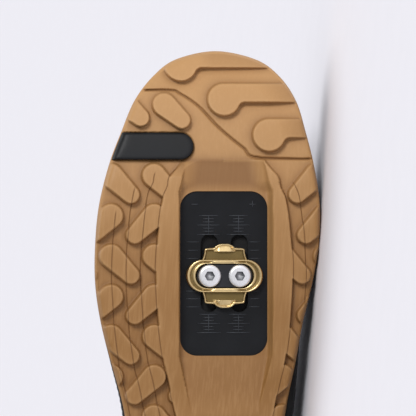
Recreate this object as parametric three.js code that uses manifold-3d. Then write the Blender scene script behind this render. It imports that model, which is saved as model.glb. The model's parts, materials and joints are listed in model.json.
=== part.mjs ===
// A right cycling shoe for clipless pedals, laced, with a gum outsole and a two-bolt cleat.
// It is modelled upright: x runs from heel to toe, y towards the medial side, z up from the tread plane.
// At the end the whole shoe is laid on its medial side, where the sole's edge and the upper carry it.

import * as THREE from 'three';
import { mergeVertices } from 'three/addons/utils/BufferGeometryUtils.js';
import { ConvexHull } from 'three/addons/math/ConvexHull.js';
import Module from 'manifold-3d';

const wasm = await Module();
wasm.setup();

// Overall sizes, in millimetres
const length = 292;
const ballWidth = 105;
const upperHeight = 96;
const toeSpring = 25;

// Layers of the sole
const lugHeight = 4;
const webThickness = 3.7;
const foamThickness = 9.5;
const insoleThickness = 4;
const clearance = 0.3;

// Upper and tongue
const wall = 2.2;
const overlay = 0.9;
const collarPad = 5;
const tongueThickness = 5;
const tongueTop = 24;

// Cleat window and plate
const windowLength = 76.8;
const windowWidth = 40.8;
const windowCorner = 8;
const plateThickness = 2.5;
const plateFlange = 3;
const slotLength = 36.6;
const slotWidth = 8.1;
const boltSpacing = 14;

// Cleat, washer and bolts
const cleatWidth = 35.8;
const cleatDepth = 15.3;
const cleatReach = 30.1;
const cleatThickness = 4.3;
const cleatChamfer = 0.7;
const cleatPocket = { width: 26.4, depth: 11, floor: 2.5 };
const cleatWingShoulder = 3.4;
const cleatWingHalf = { root: 10, shoulder: 9.2, tip: 4.4 };
const washerThickness = 1;
const boltHeadRadius = 5.2;
const boltHeadHeight = 1.6;
const boltRadius = 2.5;
const boltLength = 8.8;
const socketSize = 4;

// Laces and eyelets
const laceWidth = 6;
const laceThickness = 1.2;
const eyeletRadius = 3.8;
const eyeletBore = 2;
const eyeletHeight = 0.8;

// Plan of the sole. at is a share of length, the other columns are shares of ballWidth.
// The tucks say how far foam and upper stand inside the gum's outline, and are negative where they overhang.
const outline = table('at medial lateral tuckMedial tuckLateral', [
  [0.0000, 0.021, -0.021, 0.014, 0.014],
  [0.0137, 0.195, 0.157, 0.013, 0.013],
  [0.0548, 0.309, 0.274, 0.011, 0.011],
  [0.1233, 0.350, 0.322, 0.006, 0.008],
  [0.2055, 0.345, 0.330, -0.004, 0.004],
  [0.2911, 0.330, 0.335, -0.030, -0.006],
  [0.3699, 0.324, 0.350, -0.062, -0.017],
  [0.4384, 0.342, 0.379, -0.069, -0.021],
  [0.5031, 0.374, 0.428, -0.044, -0.015],
  [0.5668, 0.411, 0.474, -0.011, -0.004],
  [0.6305, 0.461, 0.500, 0.008, 0.010],
  [0.6942, 0.496, 0.501, 0.014, 0.014],
  [0.7579, 0.499, 0.483, 0.015, 0.015],
  [0.8216, 0.474, 0.438, 0.015, 0.015],
  [0.8733, 0.441, 0.383, 0.015, 0.015],
  [0.9236, 0.390, 0.319, 0.015, 0.015],
  [0.9616, 0.314, 0.230, 0.015, 0.015],
  [0.9873, 0.217, 0.129, 0.015, 0.015],
  [1.0000, 0.045, -0.045, 0.017, 0.017],
]);

// Sections of the upper, one for each row above. rimAt and reach are shares of length, rimHalf and bulge
// of ballWidth, rimHigh, lift and drop of upperHeight. rand and stay are shares of the way up the side:
// where the guard ends above the sole and where the eyestay or collar band begins.
const sections = table('rimAt rimHalf rimHigh lift bulge reach drop rand stay pad', [
  [0.017, 0.000, 0.823, 0.188, 0.029, 0.003, 0.167, 0.42, 0.80, 1.0],
  [0.024, 0.114, 0.813, 0.188, 0.029, 0.003, 0.167, 0.42, 0.80, 1.0],
  [0.051, 0.238, 0.760, 0.188, 0.024, 0.005, 0.167, 0.40, 0.79, 1.0],
  [0.116, 0.295, 0.688, 0.167, 0.019, 0.009, 0.146, 0.34, 0.77, 1.0],
  [0.199, 0.305, 0.667, 0.156, 0.019, 0.010, 0.135, 0.24, 0.76, 1.0],
  [0.274, 0.267, 0.760, 0.188, 0.019, 0.017, 0.146, 0.18, 0.79, 0.9],
  [0.332, 0.200, 0.917, 0.250, 0.014, 0.031, 0.146, 0.16, 0.82, 0.5],
  [0.363, 0.157, 1.000, 0.313, 0.014, 0.045, 0.125, 0.15, 0.83, 0.0],
  [0.418, 0.148, 0.948, 0.292, 0.012, 0.051, 0.094, 0.15, 0.82, 0.0],
  [0.483, 0.143, 0.865, 0.260, 0.010, 0.055, 0.073, 0.15, 0.80, 0.0],
  [0.545, 0.138, 0.786, 0.229, 0.010, 0.058, 0.063, 0.16, 0.78, 0.0],
  [0.599, 0.133, 0.714, 0.208, 0.010, 0.058, 0.052, 0.17, 0.77, 0.0],
  [0.647, 0.124, 0.656, 0.198, 0.010, 0.062, 0.052, 0.19, 0.77, 0.0],
  [0.678, 0.100, 0.625, 0.198, 0.010, 0.075, 0.052, 0.21, 0.80, 0.0],
  [0.694, 0.071, 0.604, 0.208, 0.010, 0.092, 0.063, 0.24, 0.83, 0.0],
  [0.700, 0.048, 0.599, 0.208, 0.010, 0.106, 0.073, 0.28, 0.86, 0.0],
  [0.704, 0.029, 0.596, 0.208, 0.010, 0.116, 0.083, 0.32, 0.88, 0.0],
  [0.705, 0.014, 0.594, 0.208, 0.010, 0.123, 0.083, 0.34, 0.89, 0.0],
  [0.706, 0.000, 0.594, 0.208, 0.010, 0.127, 0.083, 0.35, 0.89, 0.0],
]);

// Side view of the sole. at is a share of length, the other columns are shares of toeSpring:
// how far the tread, the seat between gum and foam, and the foot bed rise above their level at the ball.
const sideView = table('at tread seat bed', [
  [0.000, 0.360, 0.392, 0.400],
  [0.048, 0.048, 0.110, 0.392],
  [0.075, 0.000, 0.062, 0.388],
  [0.257, 0.000, 0.052, 0.350],
  [0.343, 0.110, 0.110, 0.290],
  [0.428, 0.130, 0.110, 0.170],
  [0.512, 0.048, 0.000, 0.080],
  [0.610, 0.000, 0.000, 0.000],
  [0.719, 0.000, 0.000, 0.000],
  [0.788, 0.072, 0.000, 0.030],
  [0.822, 0.148, 0.140, 0.060],
  [0.873, 0.300, 0.332, 0.190],
  [0.925, 0.520, 0.512, 0.360],
  [1.000, 1.000, 1.020, 0.820],
]);

// Half width of the raised island round the cleat window: at is a share of length, half of ballWidth
const island = table('at half', [
  [0.829, 0.181],
  [0.818, 0.205],
  [0.798, 0.248],
  [0.788, 0.252],
  [0.767, 0.276],
  [0.719, 0.295],
  [0.651, 0.307],
  [0.582, 0.298],
  [0.514, 0.276],
  [0.478, 0.252],
  [0.411, 0.210],
  [0.360, 0.114],
]);
const islandTail = 0.332;
const islandLateralStart = 0.798;

// Where the fine groove across the toe runs: at is a share of length, across of ballWidth
const grooveWidth = 1;
const grooveDepth = 1;
const groove = table('at across', [
  [0.939, -0.400],
  [0.941, -0.172],
  [0.935, -0.119],
  [0.914, -0.035],
  [0.880, 0.053],
  [0.848, 0.159],
  [0.832, 0.232],
  [0.830, 0.600],
]);

// Tread lugs. A lug is the outline round two circles, the larger towards the toe.
const lugPitch = 18.72;
const lugSpread = 19.95;
const lugHead = 5.8;
const lugTail = 4.4;
const lugLean = { x: -8.95, y: 9.07 };
const firstLug = { at: 0.8034, across: -0.4305 };
const smallestLug = 45;
const lugFacets = 10;

// Lugs that stand outside the pattern, by the centres of their two circles
const toeLugs = table('at across tailAt tailAcross', [
  [0.9168, -0.1905, 0.8925, -0.1152],
  [0.9202, -0.3733, 0.8962, -0.2981],
  [0.8041, 0.4819, 0.7733, 0.3952],
]);

// Long lugs of the toe: a round head and a band that runs out to the medial edge
const keyHead = 7.9;
const keyFillet = 3;
const keyBandDrop = 1.5;
const keyLugs = table('at across', [
  [0.9815, -0.115],
  [0.9253, 0.075],
  [0.8682, 0.273],
]);

// Badge inlay, left bare
const badge = { at: 0.8505, width: 12.7, innerEnd: -0.063, proud: 3, seat: 1.5, chamfer: 0.8 };

// Places that several pieces share
const toeward = new THREE.Vector3(1, 0, 0);
const medialward = new THREE.Vector3(0, 1, 0);
const lastRow = outline.length - 1;
const stations = 2 * lastRow;
const columnsPerRow = 2;
const spineRows = { first: 4, last: 13 };
const rimCentre = 0.025 * ballWidth;
const cleatX = 0.6432 * length;
const cleatY = 0.0733 * ballWidth;
const windowX = cleatX + 1.1;
const windowY = cleatY - 0.3;
const windowFront = windowX + windowLength / 2;
const windowBack = windowX - windowLength / 2;
const seatLevel = lugHeight + webThickness;
const bedLevel = seatLevel + clearance + foamThickness;
const plateFace = seatLevel + clearance;
const cleatSeat = plateFace - clearance;

const finishes = {
  gum: { color: 0xbb9068, roughness: 0.75, metalness: 0 },
  black: { color: 0x1b1c20, roughness: 0.7, metalness: 0 },
  knit: { color: 0x232428, roughness: 0.95, metalness: 0 },
  nylon: { color: 0x17191d, roughness: 0.45, metalness: 0 },
  brass: { color: 0xc9a55c, roughness: 0.3, metalness: 1 },
  steel: { color: 0xd9dadc, roughness: 0.25, metalness: 1 },
};
const density = { gum: 1.15, foam: 0.25, textile: 0.8, nylon: 1.15, brass: 8.4, steel: 7.85 };

function table(names, rows) {
  const keys = names.split(' ');
  return rows.map((row) => Object.fromEntries(keys.map((key, i) => [key, row[i]])));
}

// Smooth curve through a table's column that never overshoots, so level stretches stay level
function profile(rows, key, scale) {
  const x = rows.map((row) => row.at * length);
  const y = rows.map((row) => row[key] * scale);
  const chord = x.slice(1).map((right, i) => (y[i + 1] - y[i]) / (right - x[i]));
  const slope = x.map((unused, i) => {
    if (i === 0) return chord[0];
    if (i === x.length - 1) return chord[i - 1];
    if (chord[i - 1] * chord[i] <= 0) return 0;
    return 2 / (1 / chord[i - 1] + 1 / chord[i]);
  });
  return (at) => {
    const place = THREE.MathUtils.clamp(at, x[0], x[x.length - 1]);
    const i = Math.min(x.findLastIndex((left) => left <= place), x.length - 2);
    const step = x[i + 1] - x[i];
    const t = (place - x[i]) / step;
    const a = y[i] * (1 + 2 * t) + slope[i] * step * t;
    const b = y[i + 1] * (3 - 2 * t) - slope[i + 1] * step * (1 - t);
    return a * (1 - t) * (1 - t) + b * t * t;
  };
}

const treadHeight = profile(sideView, 'tread', toeSpring);
const seatRise = profile(sideView, 'seat', toeSpring);
const bedRise = profile(sideView, 'bed', toeSpring);
const floorHeight = (x) => treadHeight(x) + lugHeight;
const seatHeight = (x) => seatLevel + seatRise(x);
const bedHeight = (x) => bedLevel + bedRise(x);

// One column of a table laid round the shoe: heel, up the medial side, toe, down the lateral side
function ringOf(rows, key, lateralKey, lateralSign) {
  const medial = rows.map((row) => row[key]);
  const lateral = rows.slice(1, lastRow).reverse().map((row) => lateralSign * row[lateralKey]);
  return [...medial, ...lateral];
}

const ring = {
  at: ringOf(outline, 'at', 'at', 1),
  side: ringOf(outline, 'medial', 'lateral', -1),
  tuck: ringOf(outline, 'tuckMedial', 'tuckLateral', 1),
  rimSide: ringOf(sections, 'rimHalf', 'rimHalf', -1),
};
for (const key of ['rimAt', 'rimHigh', 'lift', 'bulge', 'reach', 'drop', 'rand', 'stay', 'pad']) {
  ring[key] = ringOf(sections, key, key, 1);
}

// Value of a ring at station c, along a closed Catmull-Rom curve. Station c faces station (stations - c).
function around(key, c) {
  const values = ring[key];
  const i = Math.floor(c);
  const t = c - i;
  const [p0, p1, p2, p3] = [-1, 0, 1, 2].map((k) => values[(i + k + 2 * stations) % stations]);
  const curve = (3 * p1 - p0 - 3 * p2 + p3) * t + 2 * p0 - 5 * p1 + 4 * p2 - p3;
  return p1 + 0.5 * t * (p2 - p0 + t * curve);
}

function soleEdge(c) {
  return new THREE.Vector2(length * around('at', c), ballWidth * around('side', c));
}

function edgeNormal(c) {
  const along = soleEdge(c + 0.05).sub(soleEdge(c - 0.05)).normalize();
  return new THREE.Vector2(-along.y, along.x);
}

function insetEdge(c, inset) {
  return soleEdge(c).addScaledVector(edgeNormal(c), -inset);
}

// Middle line of the sole, which stops short of heel and toe so that the ends close as fans
function spine(c) {
  const row = THREE.MathUtils.clamp(Math.min(c, stations - c), spineRows.first, spineRows.last);
  return soleEdge(row).add(soleEdge(stations - row)).multiplyScalar(0.5);
}

function tuckAt(c) {
  return ballWidth * around('tuck', c);
}

// Rims of the surfaces where gum meets foam and foam meets insole, as insets from the gum's outline
function seatEdge(c) {
  return Math.max(tuckAt(c), 0) + 0.8;
}

function insoleEdge(c) {
  return tuckAt(c) + wall + 2 * clearance;
}

// Solid from corners and triangles: coinciding corners are merged and the faces turned outwards
function solidFrom(points, triangles) {
  const geometry = new THREE.BufferGeometry().setFromPoints(points);
  geometry.setIndex(triangles.flat());
  return solidFromGeometry(geometry);
}

function solidFromGeometry(source) {
  const geometry = source.clone();
  geometry.deleteAttribute('normal');
  geometry.deleteAttribute('uv');
  const merged = mergeVertices(geometry, 1e-4);
  const index = merged.index.array;
  const triVerts = [];
  for (let i = 0; i < index.length; i += 3) {
    const [a, b, c] = [index[i], index[i + 1], index[i + 2]];
    if (a !== b && b !== c && c !== a) triVerts.push(a, b, c);
  }
  const vertProperties = new Float32Array(merged.attributes.position.array);
  const build = (corners) => new wasm.Manifold(new wasm.Mesh({
    numProp: 3,
    vertProperties,
    triVerts: new Uint32Array(corners),
  }));
  const solid = build(triVerts);
  return solid.volume() > 0 ? solid : build(triVerts.reverse());
}

// Solid through rings of as many points each. Its ends have closed up, or join each other where looped is
// true. Each four-sided face is split along its shorter diagonal, so that faces laid on each other match.
function solidFromRings(rings, looped) {
  const count = rings[0].length;
  const points = rings.flat();
  const triangles = [];
  for (let r = 0; r < rings.length - (looped ? 0 : 1); r += 1) {
    const low = r * count;
    const high = ((r + 1) % rings.length) * count;
    for (let i = 0; i < count; i += 1) {
      const next = (i + 1) % count;
      const corners = [low + i, low + next, high + next, high + i];
      const [a, b, c, d] = corners.map((corner) => points[corner]);
      const start = a.distanceTo(c) < b.distanceTo(d) + 1e-3 ? 0 : 1;
      const turned = [0, 1, 2, 3].map((k) => corners[(k + start) % 4]);
      triangles.push([turned[0], turned[1], turned[2]], [turned[0], turned[2], turned[3]]);
    }
  }
  return solidFrom(points, triangles);
}

// Solid through a run of sections with flat or slightly curved end faces
function loft(loops) {
  const count = loops[0].length;
  const points = loops.flat();
  const triangles = [];
  for (let r = 0; r < loops.length - 1; r += 1) {
    for (let i = 0; i < count; i += 1) {
      const next = (i + 1) % count;
      const [low, high] = [r * count, (r + 1) * count];
      triangles.push([low + i, low + next, high + next], [low + i, high + next, high + i]);
    }
  }
  const far = (loops.length - 1) * count;
  for (let i = 0; i < count / 2 - 1; i += 1) {
    const other = count - 1 - i;
    triangles.push([i, other, other - 1], [i, other - 1, i + 1]);
    triangles.push([far + i, far + other - 1, far + other], [far + i, far + i + 1, far + other - 1]);
  }
  return solidFrom(points, triangles);
}

function columnStations(perRow = columnsPerRow) {
  return Array.from({ length: perRow * stations }, (unused, i) => i / perRow);
}

// Slab with the sole's plan. A layer has its inset from the outline, how far it has closed in on the
// spine, and its height at x.
function slab(layers, perRow) {
  const rings = layers.map(({ inset = 0, closed = 0, height }) => columnStations(perRow).map((c) => {
    const own = typeof inset === 'function' ? inset(c) : inset;
    const point = insetEdge(c, own).lerp(spine(c), closed);
    return new THREE.Vector3(point.x, point.y, height(point.x));
  }));
  return solidFromRings(rings, false);
}

function plainSlab(low, high, inset = 0) {
  return slab([
    { closed: 1, height: low },
    { inset, height: low },
    { inset, height: high },
    { closed: 1, height: high },
  ], 1);
}

// Upright prism over a plan of points
function prism(points, low = -toeSpring, high = 3 * toeSpring) {
  const geometry = new THREE.ExtrudeGeometry(new THREE.Shape(points), {
    depth: high - low,
    bevelEnabled: false,
  });
  geometry.translate(0, 0, low);
  return solidFromGeometry(geometry);
}

function arc(centre, radius, from, to, facets) {
  return Array.from({ length: facets + 1 }, (unused, i) => {
    const angle = from + ((to - from) * i) / facets;
    return new THREE.Vector2(centre.x + radius * Math.cos(angle), centre.y + radius * Math.sin(angle));
  });
}

// Plan of a rectangle with round corners, long and wide along x and y
function roundedPlan(x, y, long, wide, corner, facets) {
  const centres = [[1, 1], [-1, 1], [-1, -1], [1, -1]];
  return centres.flatMap(([alongX, alongY], i) => arc(
    { x: x + alongX * (long / 2 - corner), y: y + alongY * (wide / 2 - corner) },
    corner,
    (i * Math.PI) / 2,
    ((i + 1) * Math.PI) / 2,
    facets,
  ));
}

function stadium(x, y, long, wide, facets) {
  return roundedPlan(x, y, long, wide, Math.min(long, wide) / 2 - 0.01, facets);
}

// Plan round two circles, as a belt lies round two pulleys
function beltPlan(head, headRadius, tail, tailRadius) {
  const lean = Math.atan2(tail.y - head.y, tail.x - head.x);
  const wrap = Math.acos((headRadius - tailRadius) / head.distanceTo(tail));
  const half = lugFacets / 2;
  return [
    ...arc(head, headRadius, lean + wrap, lean + 2 * Math.PI - wrap, half),
    ...arc(tail, tailRadius, lean - wrap, lean + wrap, half - 1),
  ];
}

function onSole(at, across) {
  return new THREE.Vector2(at * length, across * ballWidth);
}

// Plans of all the egg-shaped lugs. Odd rows lean the other way.
function eggLugPlans() {
  const plans = toeLugs.map((lug) => beltPlan(
    onSole(lug.at, lug.across),
    lugHead,
    onSole(lug.tailAt, lug.tailAcross),
    lugTail,
  ));
  const start = onSole(firstLug.at, firstLug.across);
  const rowCount = Math.ceil(start.x / lugPitch);
  const across = Math.ceil(ballWidth / lugSpread) + 1;
  for (let row = 0; row < rowCount; row += 1) {
    for (let n = -1; n < across; n += 1) {
      const head = new THREE.Vector2(start.x - row * lugPitch, start.y + n * lugSpread);
      const side = row % 2 === 0 ? 1 : -1;
      const tail = head.clone().add(new THREE.Vector2(lugLean.x, side * lugLean.y));
      const clearOfToe = row > 0 || (n >= 0 && n < 2);
      if (clearOfToe) plans.push(beltPlan(head, lugHead, tail, lugTail));
    }
  }
  return plans;
}

// Plan of a long toe lug. The first one has no upper edge of its own: it runs on to the tip of the toe.
function keyLugPlan({ at, across }, isFirst) {
  const centre = onSole(at, across);
  const bandEdge = centre.x - keyBandDrop;
  const filletX = bandEdge - keyFillet;
  const filletY = centre.y + Math.sqrt((keyHead + keyFillet) ** 2 - (centre.x - filletX) ** 2);
  const turn = Math.atan2(filletY - centre.y, filletX - centre.x);
  const top = isFirst ? length + keyHead : centre.x + keyHead;
  const headEnd = isFirst ? 1.5 * Math.PI : 2 * Math.PI;
  return [
    new THREE.Vector2(top, ballWidth),
    new THREE.Vector2(bandEdge, ballWidth),
    ...arc({ x: filletX, y: filletY }, keyFillet, 0, turn - Math.PI, 3),
    ...arc(centre, keyHead, turn, headEnd, 10),
    ...(isFirst ? [new THREE.Vector2(top, centre.y - keyHead)] : []),
  ];
}

// Everything that stands up to the tread level
function treadEnvelope() {
  return slab([
    { closed: 1, height: treadHeight },
    { closed: 0.5, height: treadHeight },
    { inset: 4, height: treadHeight },
    { inset: 1.6, height: (x) => treadHeight(x) + 0.18 * lugHeight },
    { inset: 0.5, height: (x) => treadHeight(x) + 0.65 * lugHeight },
    { inset: 0.5, height: (x) => floorHeight(x) + 1 },
    { closed: 1, height: (x) => floorHeight(x) + 1 },
  ], 1);
}

function islandPlan() {
  const medial = island.map((row) => onSole(row.at, row.half).add({ x: 0, y: windowY }));
  const lateral = island
    .filter((row) => row.at <= islandLateralStart)
    .map((row) => onSole(row.at, -row.half).add({ x: 0, y: windowY }))
    .reverse();
  return [...medial, new THREE.Vector2(islandTail * length, windowY), ...lateral];
}

// Trough that holds the cleat: down a ramp behind the toe, level along the window, up again in the arch
function cleatTrough() {
  const frontRamp = 14.7;
  const rearRamp = 32;
  const lip = 1.5;
  const lean = 1.3;
  const ceiling = seatLevel - lip;
  const half = windowWidth / 2;
  const stops = [
    { x: windowFront + frontRamp, foot: half - 2.6, level: floorHeight(windowFront + frontRamp) },
    { x: windowFront, foot: half, level: ceiling },
    { x: windowBack, foot: half, level: ceiling },
    { x: windowBack - rearRamp, foot: half - 6, level: treadHeight(windowBack - rearRamp) - 0.5 },
  ];
  return loft(stops.map(({ x, foot, level }) => [
    new THREE.Vector3(x, windowY - foot, level),
    new THREE.Vector3(x, windowY - foot - lean, -1),
    new THREE.Vector3(x, windowY + foot + lean, -1),
    new THREE.Vector3(x, windowY + foot, level),
  ]));
}

function groovePlan() {
  const path = groove.map((row) => onSole(row.at, row.across));
  const side = (sign) => path.map((point, i) => {
    const before = path[Math.max(i - 1, 0)];
    const after = path[Math.min(i + 1, path.length - 1)];
    const along = after.clone().sub(before).normalize();
    const offset = (sign * grooveWidth) / 2;
    return point.clone().add(new THREE.Vector2(-along.y * offset, along.x * offset));
  });
  return [...side(1), ...side(-1).reverse()];
}

function badgePlan(margin) {
  const x = badge.at * length;
  const radius = badge.width / 2 + margin;
  const end = badge.innerEnd * ballWidth - badge.width / 2;
  return [
    new THREE.Vector2(x - radius, -ballWidth),
    ...arc({ x, y: end }, radius, Math.PI, 0, 6),
    new THREE.Vector2(x + radius, -ballWidth),
  ];
}

// The badge: a lower step with the whole plan, and an upper one inside it by the chamfer
function makeBadge() {
  const step = (margin, proud) => prism(badgePlan(margin)).intersect(slab([
    { closed: 1, height: (x) => floorHeight(x) - proud },
    { inset: 2, height: (x) => floorHeight(x) - proud },
    { inset: 0.6, height: (x) => floorHeight(x) - proud + 1 },
    { inset: 0.2, height: (x) => floorHeight(x) + badge.seat - clearance },
    { closed: 1, height: (x) => floorHeight(x) + badge.seat - clearance },
  ]));
  return step(0, badge.proud - badge.chamfer).add(step(-badge.chamfer, badge.proud));
}

function makeOutsole() {
  const base = slab([
    { closed: 1, height: floorHeight },
    { closed: 0.5, height: floorHeight },
    { inset: 1.2, height: (x) => floorHeight(x) + 0.2 },
    { height: (x) => floorHeight(x) + 2.2 },
    { inset: 0.6, height: seatHeight },
    { inset: seatEdge, height: seatHeight },
    { closed: 0.5, height: seatHeight },
    { closed: 1, height: seatHeight },
  ]);
  const badgePocket = prism(badgePlan(clearance));
  const eggs = wasm.Manifold.union(eggLugPlans().map((plan) => prism(plan)));
  const keys = keyLugs.map((lug, i) => prism(keyLugPlan(lug, i === 0)));
  const raised = wasm.Manifold.union([eggs.subtract(badgePocket), prism(islandPlan()), ...keys]);
  const kept = raised.intersect(treadEnvelope()).decompose().filter((lug) => lug.volume() > smallestLug);
  const pocketDepth = plainSlab((x) => treadHeight(x) - 1, (x) => floorHeight(x) + badge.seat, -1);
  const grooveDepthSlab = plainSlab((x) => treadHeight(x) - 1, (x) => floorHeight(x) + grooveDepth, -1);
  const window = roundedPlan(windowX, windowY, windowLength, windowWidth, windowCorner, 4);
  return wasm.Manifold.union([base, ...kept])
    .subtract(cleatTrough())
    .subtract(prism(window, -1, seatLevel + 1))
    .subtract(badgePocket.intersect(pocketDepth))
    .subtract(prism(groovePlan()).intersect(grooveDepthSlab));
}

function makeCleatPlate() {
  const grow = 2 * plateFlange;
  const plan = roundedPlan(
    windowX,
    windowY,
    windowLength + grow,
    windowWidth + grow,
    windowCorner + plateFlange,
    4,
  );
  const body = prism(plan, plateFace, plateFace + plateThickness);
  const slots = [-1, 1].map((side) => prism(
    stadium(cleatX + 1.2, cleatY + (side * boltSpacing) / 2, slotLength, slotWidth, 3),
  ));
  return body.subtract(wasm.Manifold.union(slots));
}

// Wing of the cleat, fore or aft: a tapering tongue that slopes away from the ring
function cleatWing(direction) {
  const rootX = cleatX + direction * (cleatDepth / 2 - 2);
  const midX = cleatX + direction * (cleatDepth / 2 + cleatWingShoulder);
  const tipX = cleatX + (direction * cleatReach) / 2;
  const face = cleatSeat - cleatThickness;
  const section = (x, half, low, crown) => [
    new THREE.Vector3(x, cleatY - half, cleatSeat),
    new THREE.Vector3(x, cleatY - half, low),
    new THREE.Vector3(x, cleatY - half * 0.55, crown),
    new THREE.Vector3(x, cleatY + half * 0.55, crown),
    new THREE.Vector3(x, cleatY + half, low),
    new THREE.Vector3(x, cleatY + half, cleatSeat),
  ];
  return loft([
    section(rootX, cleatWingHalf.root, face + 0.47 * cleatThickness, face + 0.23 * cleatThickness),
    section(midX, cleatWingHalf.shoulder, face + 0.56 * cleatThickness, face + 0.33 * cleatThickness),
    section(tipX, cleatWingHalf.tip, face + 0.75 * cleatThickness, face + 0.6 * cleatThickness),
  ]);
}

function boltHoles(radius) {
  const holes = [-1, 1].map((side) => prism(
    arc({ x: cleatX, y: cleatY + (side * boltSpacing) / 2 }, radius, 0, 2 * Math.PI, 12).slice(1),
  ));
  return wasm.Manifold.union(holes);
}

function makeCleat() {
  const face = cleatSeat - cleatThickness;
  const outer = stadium(cleatX, cleatY, cleatDepth, cleatWidth, 6);
  const slim = stadium(cleatX, cleatY, cleatDepth - 2 * cleatChamfer, cleatWidth - 2 * cleatChamfer, 6);
  const lift = (plan, z) => plan.map((point) => new THREE.Vector3(point.x, point.y, z));
  const ringBody = loft([lift(slim, face), lift(outer, face + cleatChamfer), lift(outer, cleatSeat)]);
  const pocket = stadium(cleatX, cleatY, cleatPocket.depth, cleatPocket.width, 6);
  return ringBody
    .add(cleatWing(1))
    .add(cleatWing(-1))
    .subtract(prism(pocket, face - 1, cleatSeat - cleatPocket.floor))
    .subtract(boltHoles(boltRadius + clearance));
}

function makeWasher() {
  const top = cleatSeat - cleatPocket.floor - clearance;
  const plan = stadium(
    cleatX,
    cleatY,
    cleatPocket.depth - 2 * clearance,
    cleatPocket.width - 2 * clearance,
    6,
  );
  return prism(plan, top - washerThickness, top).subtract(boltHoles(boltRadius + clearance));
}

// Bolt with a low round head and a six-sided socket, turned about z
function makeBolt(side) {
  const headTop = cleatSeat - cleatPocket.floor - washerThickness - 2 * clearance;
  const face = headTop - boltHeadHeight;
  const outline = [
    [0, face],
    [boltHeadRadius - 0.9, face],
    [boltHeadRadius, face + 0.7],
    [boltHeadRadius, headTop],
    [boltRadius, headTop],
    [boltRadius, headTop + boltLength],
    [0, headTop + boltLength],
  ];
  const turned = new THREE.LatheGeometry(outline.map(([r, z]) => new THREE.Vector2(r, z)), 16);
  turned.rotateX(Math.PI / 2);
  const x = cleatX;
  const y = cleatY + (side * boltSpacing) / 2;
  turned.translate(x, y, 0);
  const socket = arc({ x, y }, socketSize / Math.sqrt(3), 0, 2 * Math.PI, 6).slice(1);
  return solidFromGeometry(turned).subtract(prism(socket, face - 1, face + 1.9));
}

function makeMidsole() {
  const low = (x) => seatHeight(x) + clearance;
  const body = slab([
    { closed: 1, height: low },
    { closed: 0.5, height: low },
    { inset: seatEdge, height: low },
    { inset: (c) => tuckAt(c) + 0.8, height: low },
    { inset: tuckAt, height: (x) => low(x) + 0.3 * (bedHeight(x) - low(x)) },
    { inset: (c) => tuckAt(c) + 0.3, height: bedHeight },
    { inset: insoleEdge, height: bedHeight },
    { closed: 0.5, height: bedHeight },
    { closed: 1, height: bedHeight },
  ]);
  const grow = 2 * (plateFlange + clearance);
  const pocket = roundedPlan(
    windowX,
    windowY,
    windowLength + grow,
    windowWidth + grow,
    windowCorner + plateFlange + clearance,
    4,
  );
  const pocketTop = plateFace + plateThickness + clearance;
  const wellTop = cleatSeat - cleatPocket.floor - washerThickness + boltLength + 1;
  const wells = [-1, 1].map((side) => prism(
    stadium(cleatX + 1.2, cleatY + (side * boltSpacing) / 2, slotLength, slotWidth, 3),
    seatLevel - 1,
    wellTop,
  ));
  return body.subtract(prism(pocket, seatLevel - 1, pocketTop)).subtract(wasm.Manifold.union(wells));
}

function makeInsole() {
  const low = (x) => bedHeight(x) + clearance;
  return slab([
    { closed: 1, height: low },
    { closed: 0.5, height: low },
    { inset: insoleEdge, height: low },
    { inset: (c) => insoleEdge(c) + 0.6, height: (x) => low(x) + insoleThickness },
    { closed: 1, height: (x) => low(x) + insoleThickness },
  ]);
}

function rimPoint(c) {
  return new THREE.Vector3(
    length * around('rimAt', c),
    rimCentre + ballWidth * around('rimSide', c),
    upperHeight * around('rimHigh', c),
  );
}

// Side of the upper at station c: a curve from the sole at t = 0 to the rim of collar and throat at t = 1
function sideCurve(c) {
  const foot = insetEdge(c, tuckAt(c));
  const rim = rimPoint(c);
  const out = edgeNormal(c).multiplyScalar(ballWidth * around('bulge', c));
  const low = new THREE.Vector3(foot.x, foot.y, bedHeight(foot.x) + clearance);
  const lowHandle = low.clone().add({ x: out.x, y: out.y, z: upperHeight * around('lift', c) });
  const away = foot.clone().sub(rim).normalize().multiplyScalar(length * around('reach', c));
  const rimHandle = rim.clone().add({ x: away.x, y: away.y, z: -upperHeight * around('drop', c) });
  return new THREE.CubicBezierCurve3(low, lowHandle, rimHandle, rim);
}

// Point of the upper's skin, moved out along its normal by raise
function skin(c, t, raise) {
  const curve = sideCurve(c);
  const point = curve.getPoint(t);
  const up = curve.getTangent(t);
  const along = sideCurve(c + 0.1).getPoint(t).sub(sideCurve(c - 0.1).getPoint(t));
  const normal = up.cross(along);
  if (t === 0) normal.z = 0;
  return point.addScaledVector(normal.normalize(), raise);
}

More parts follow.
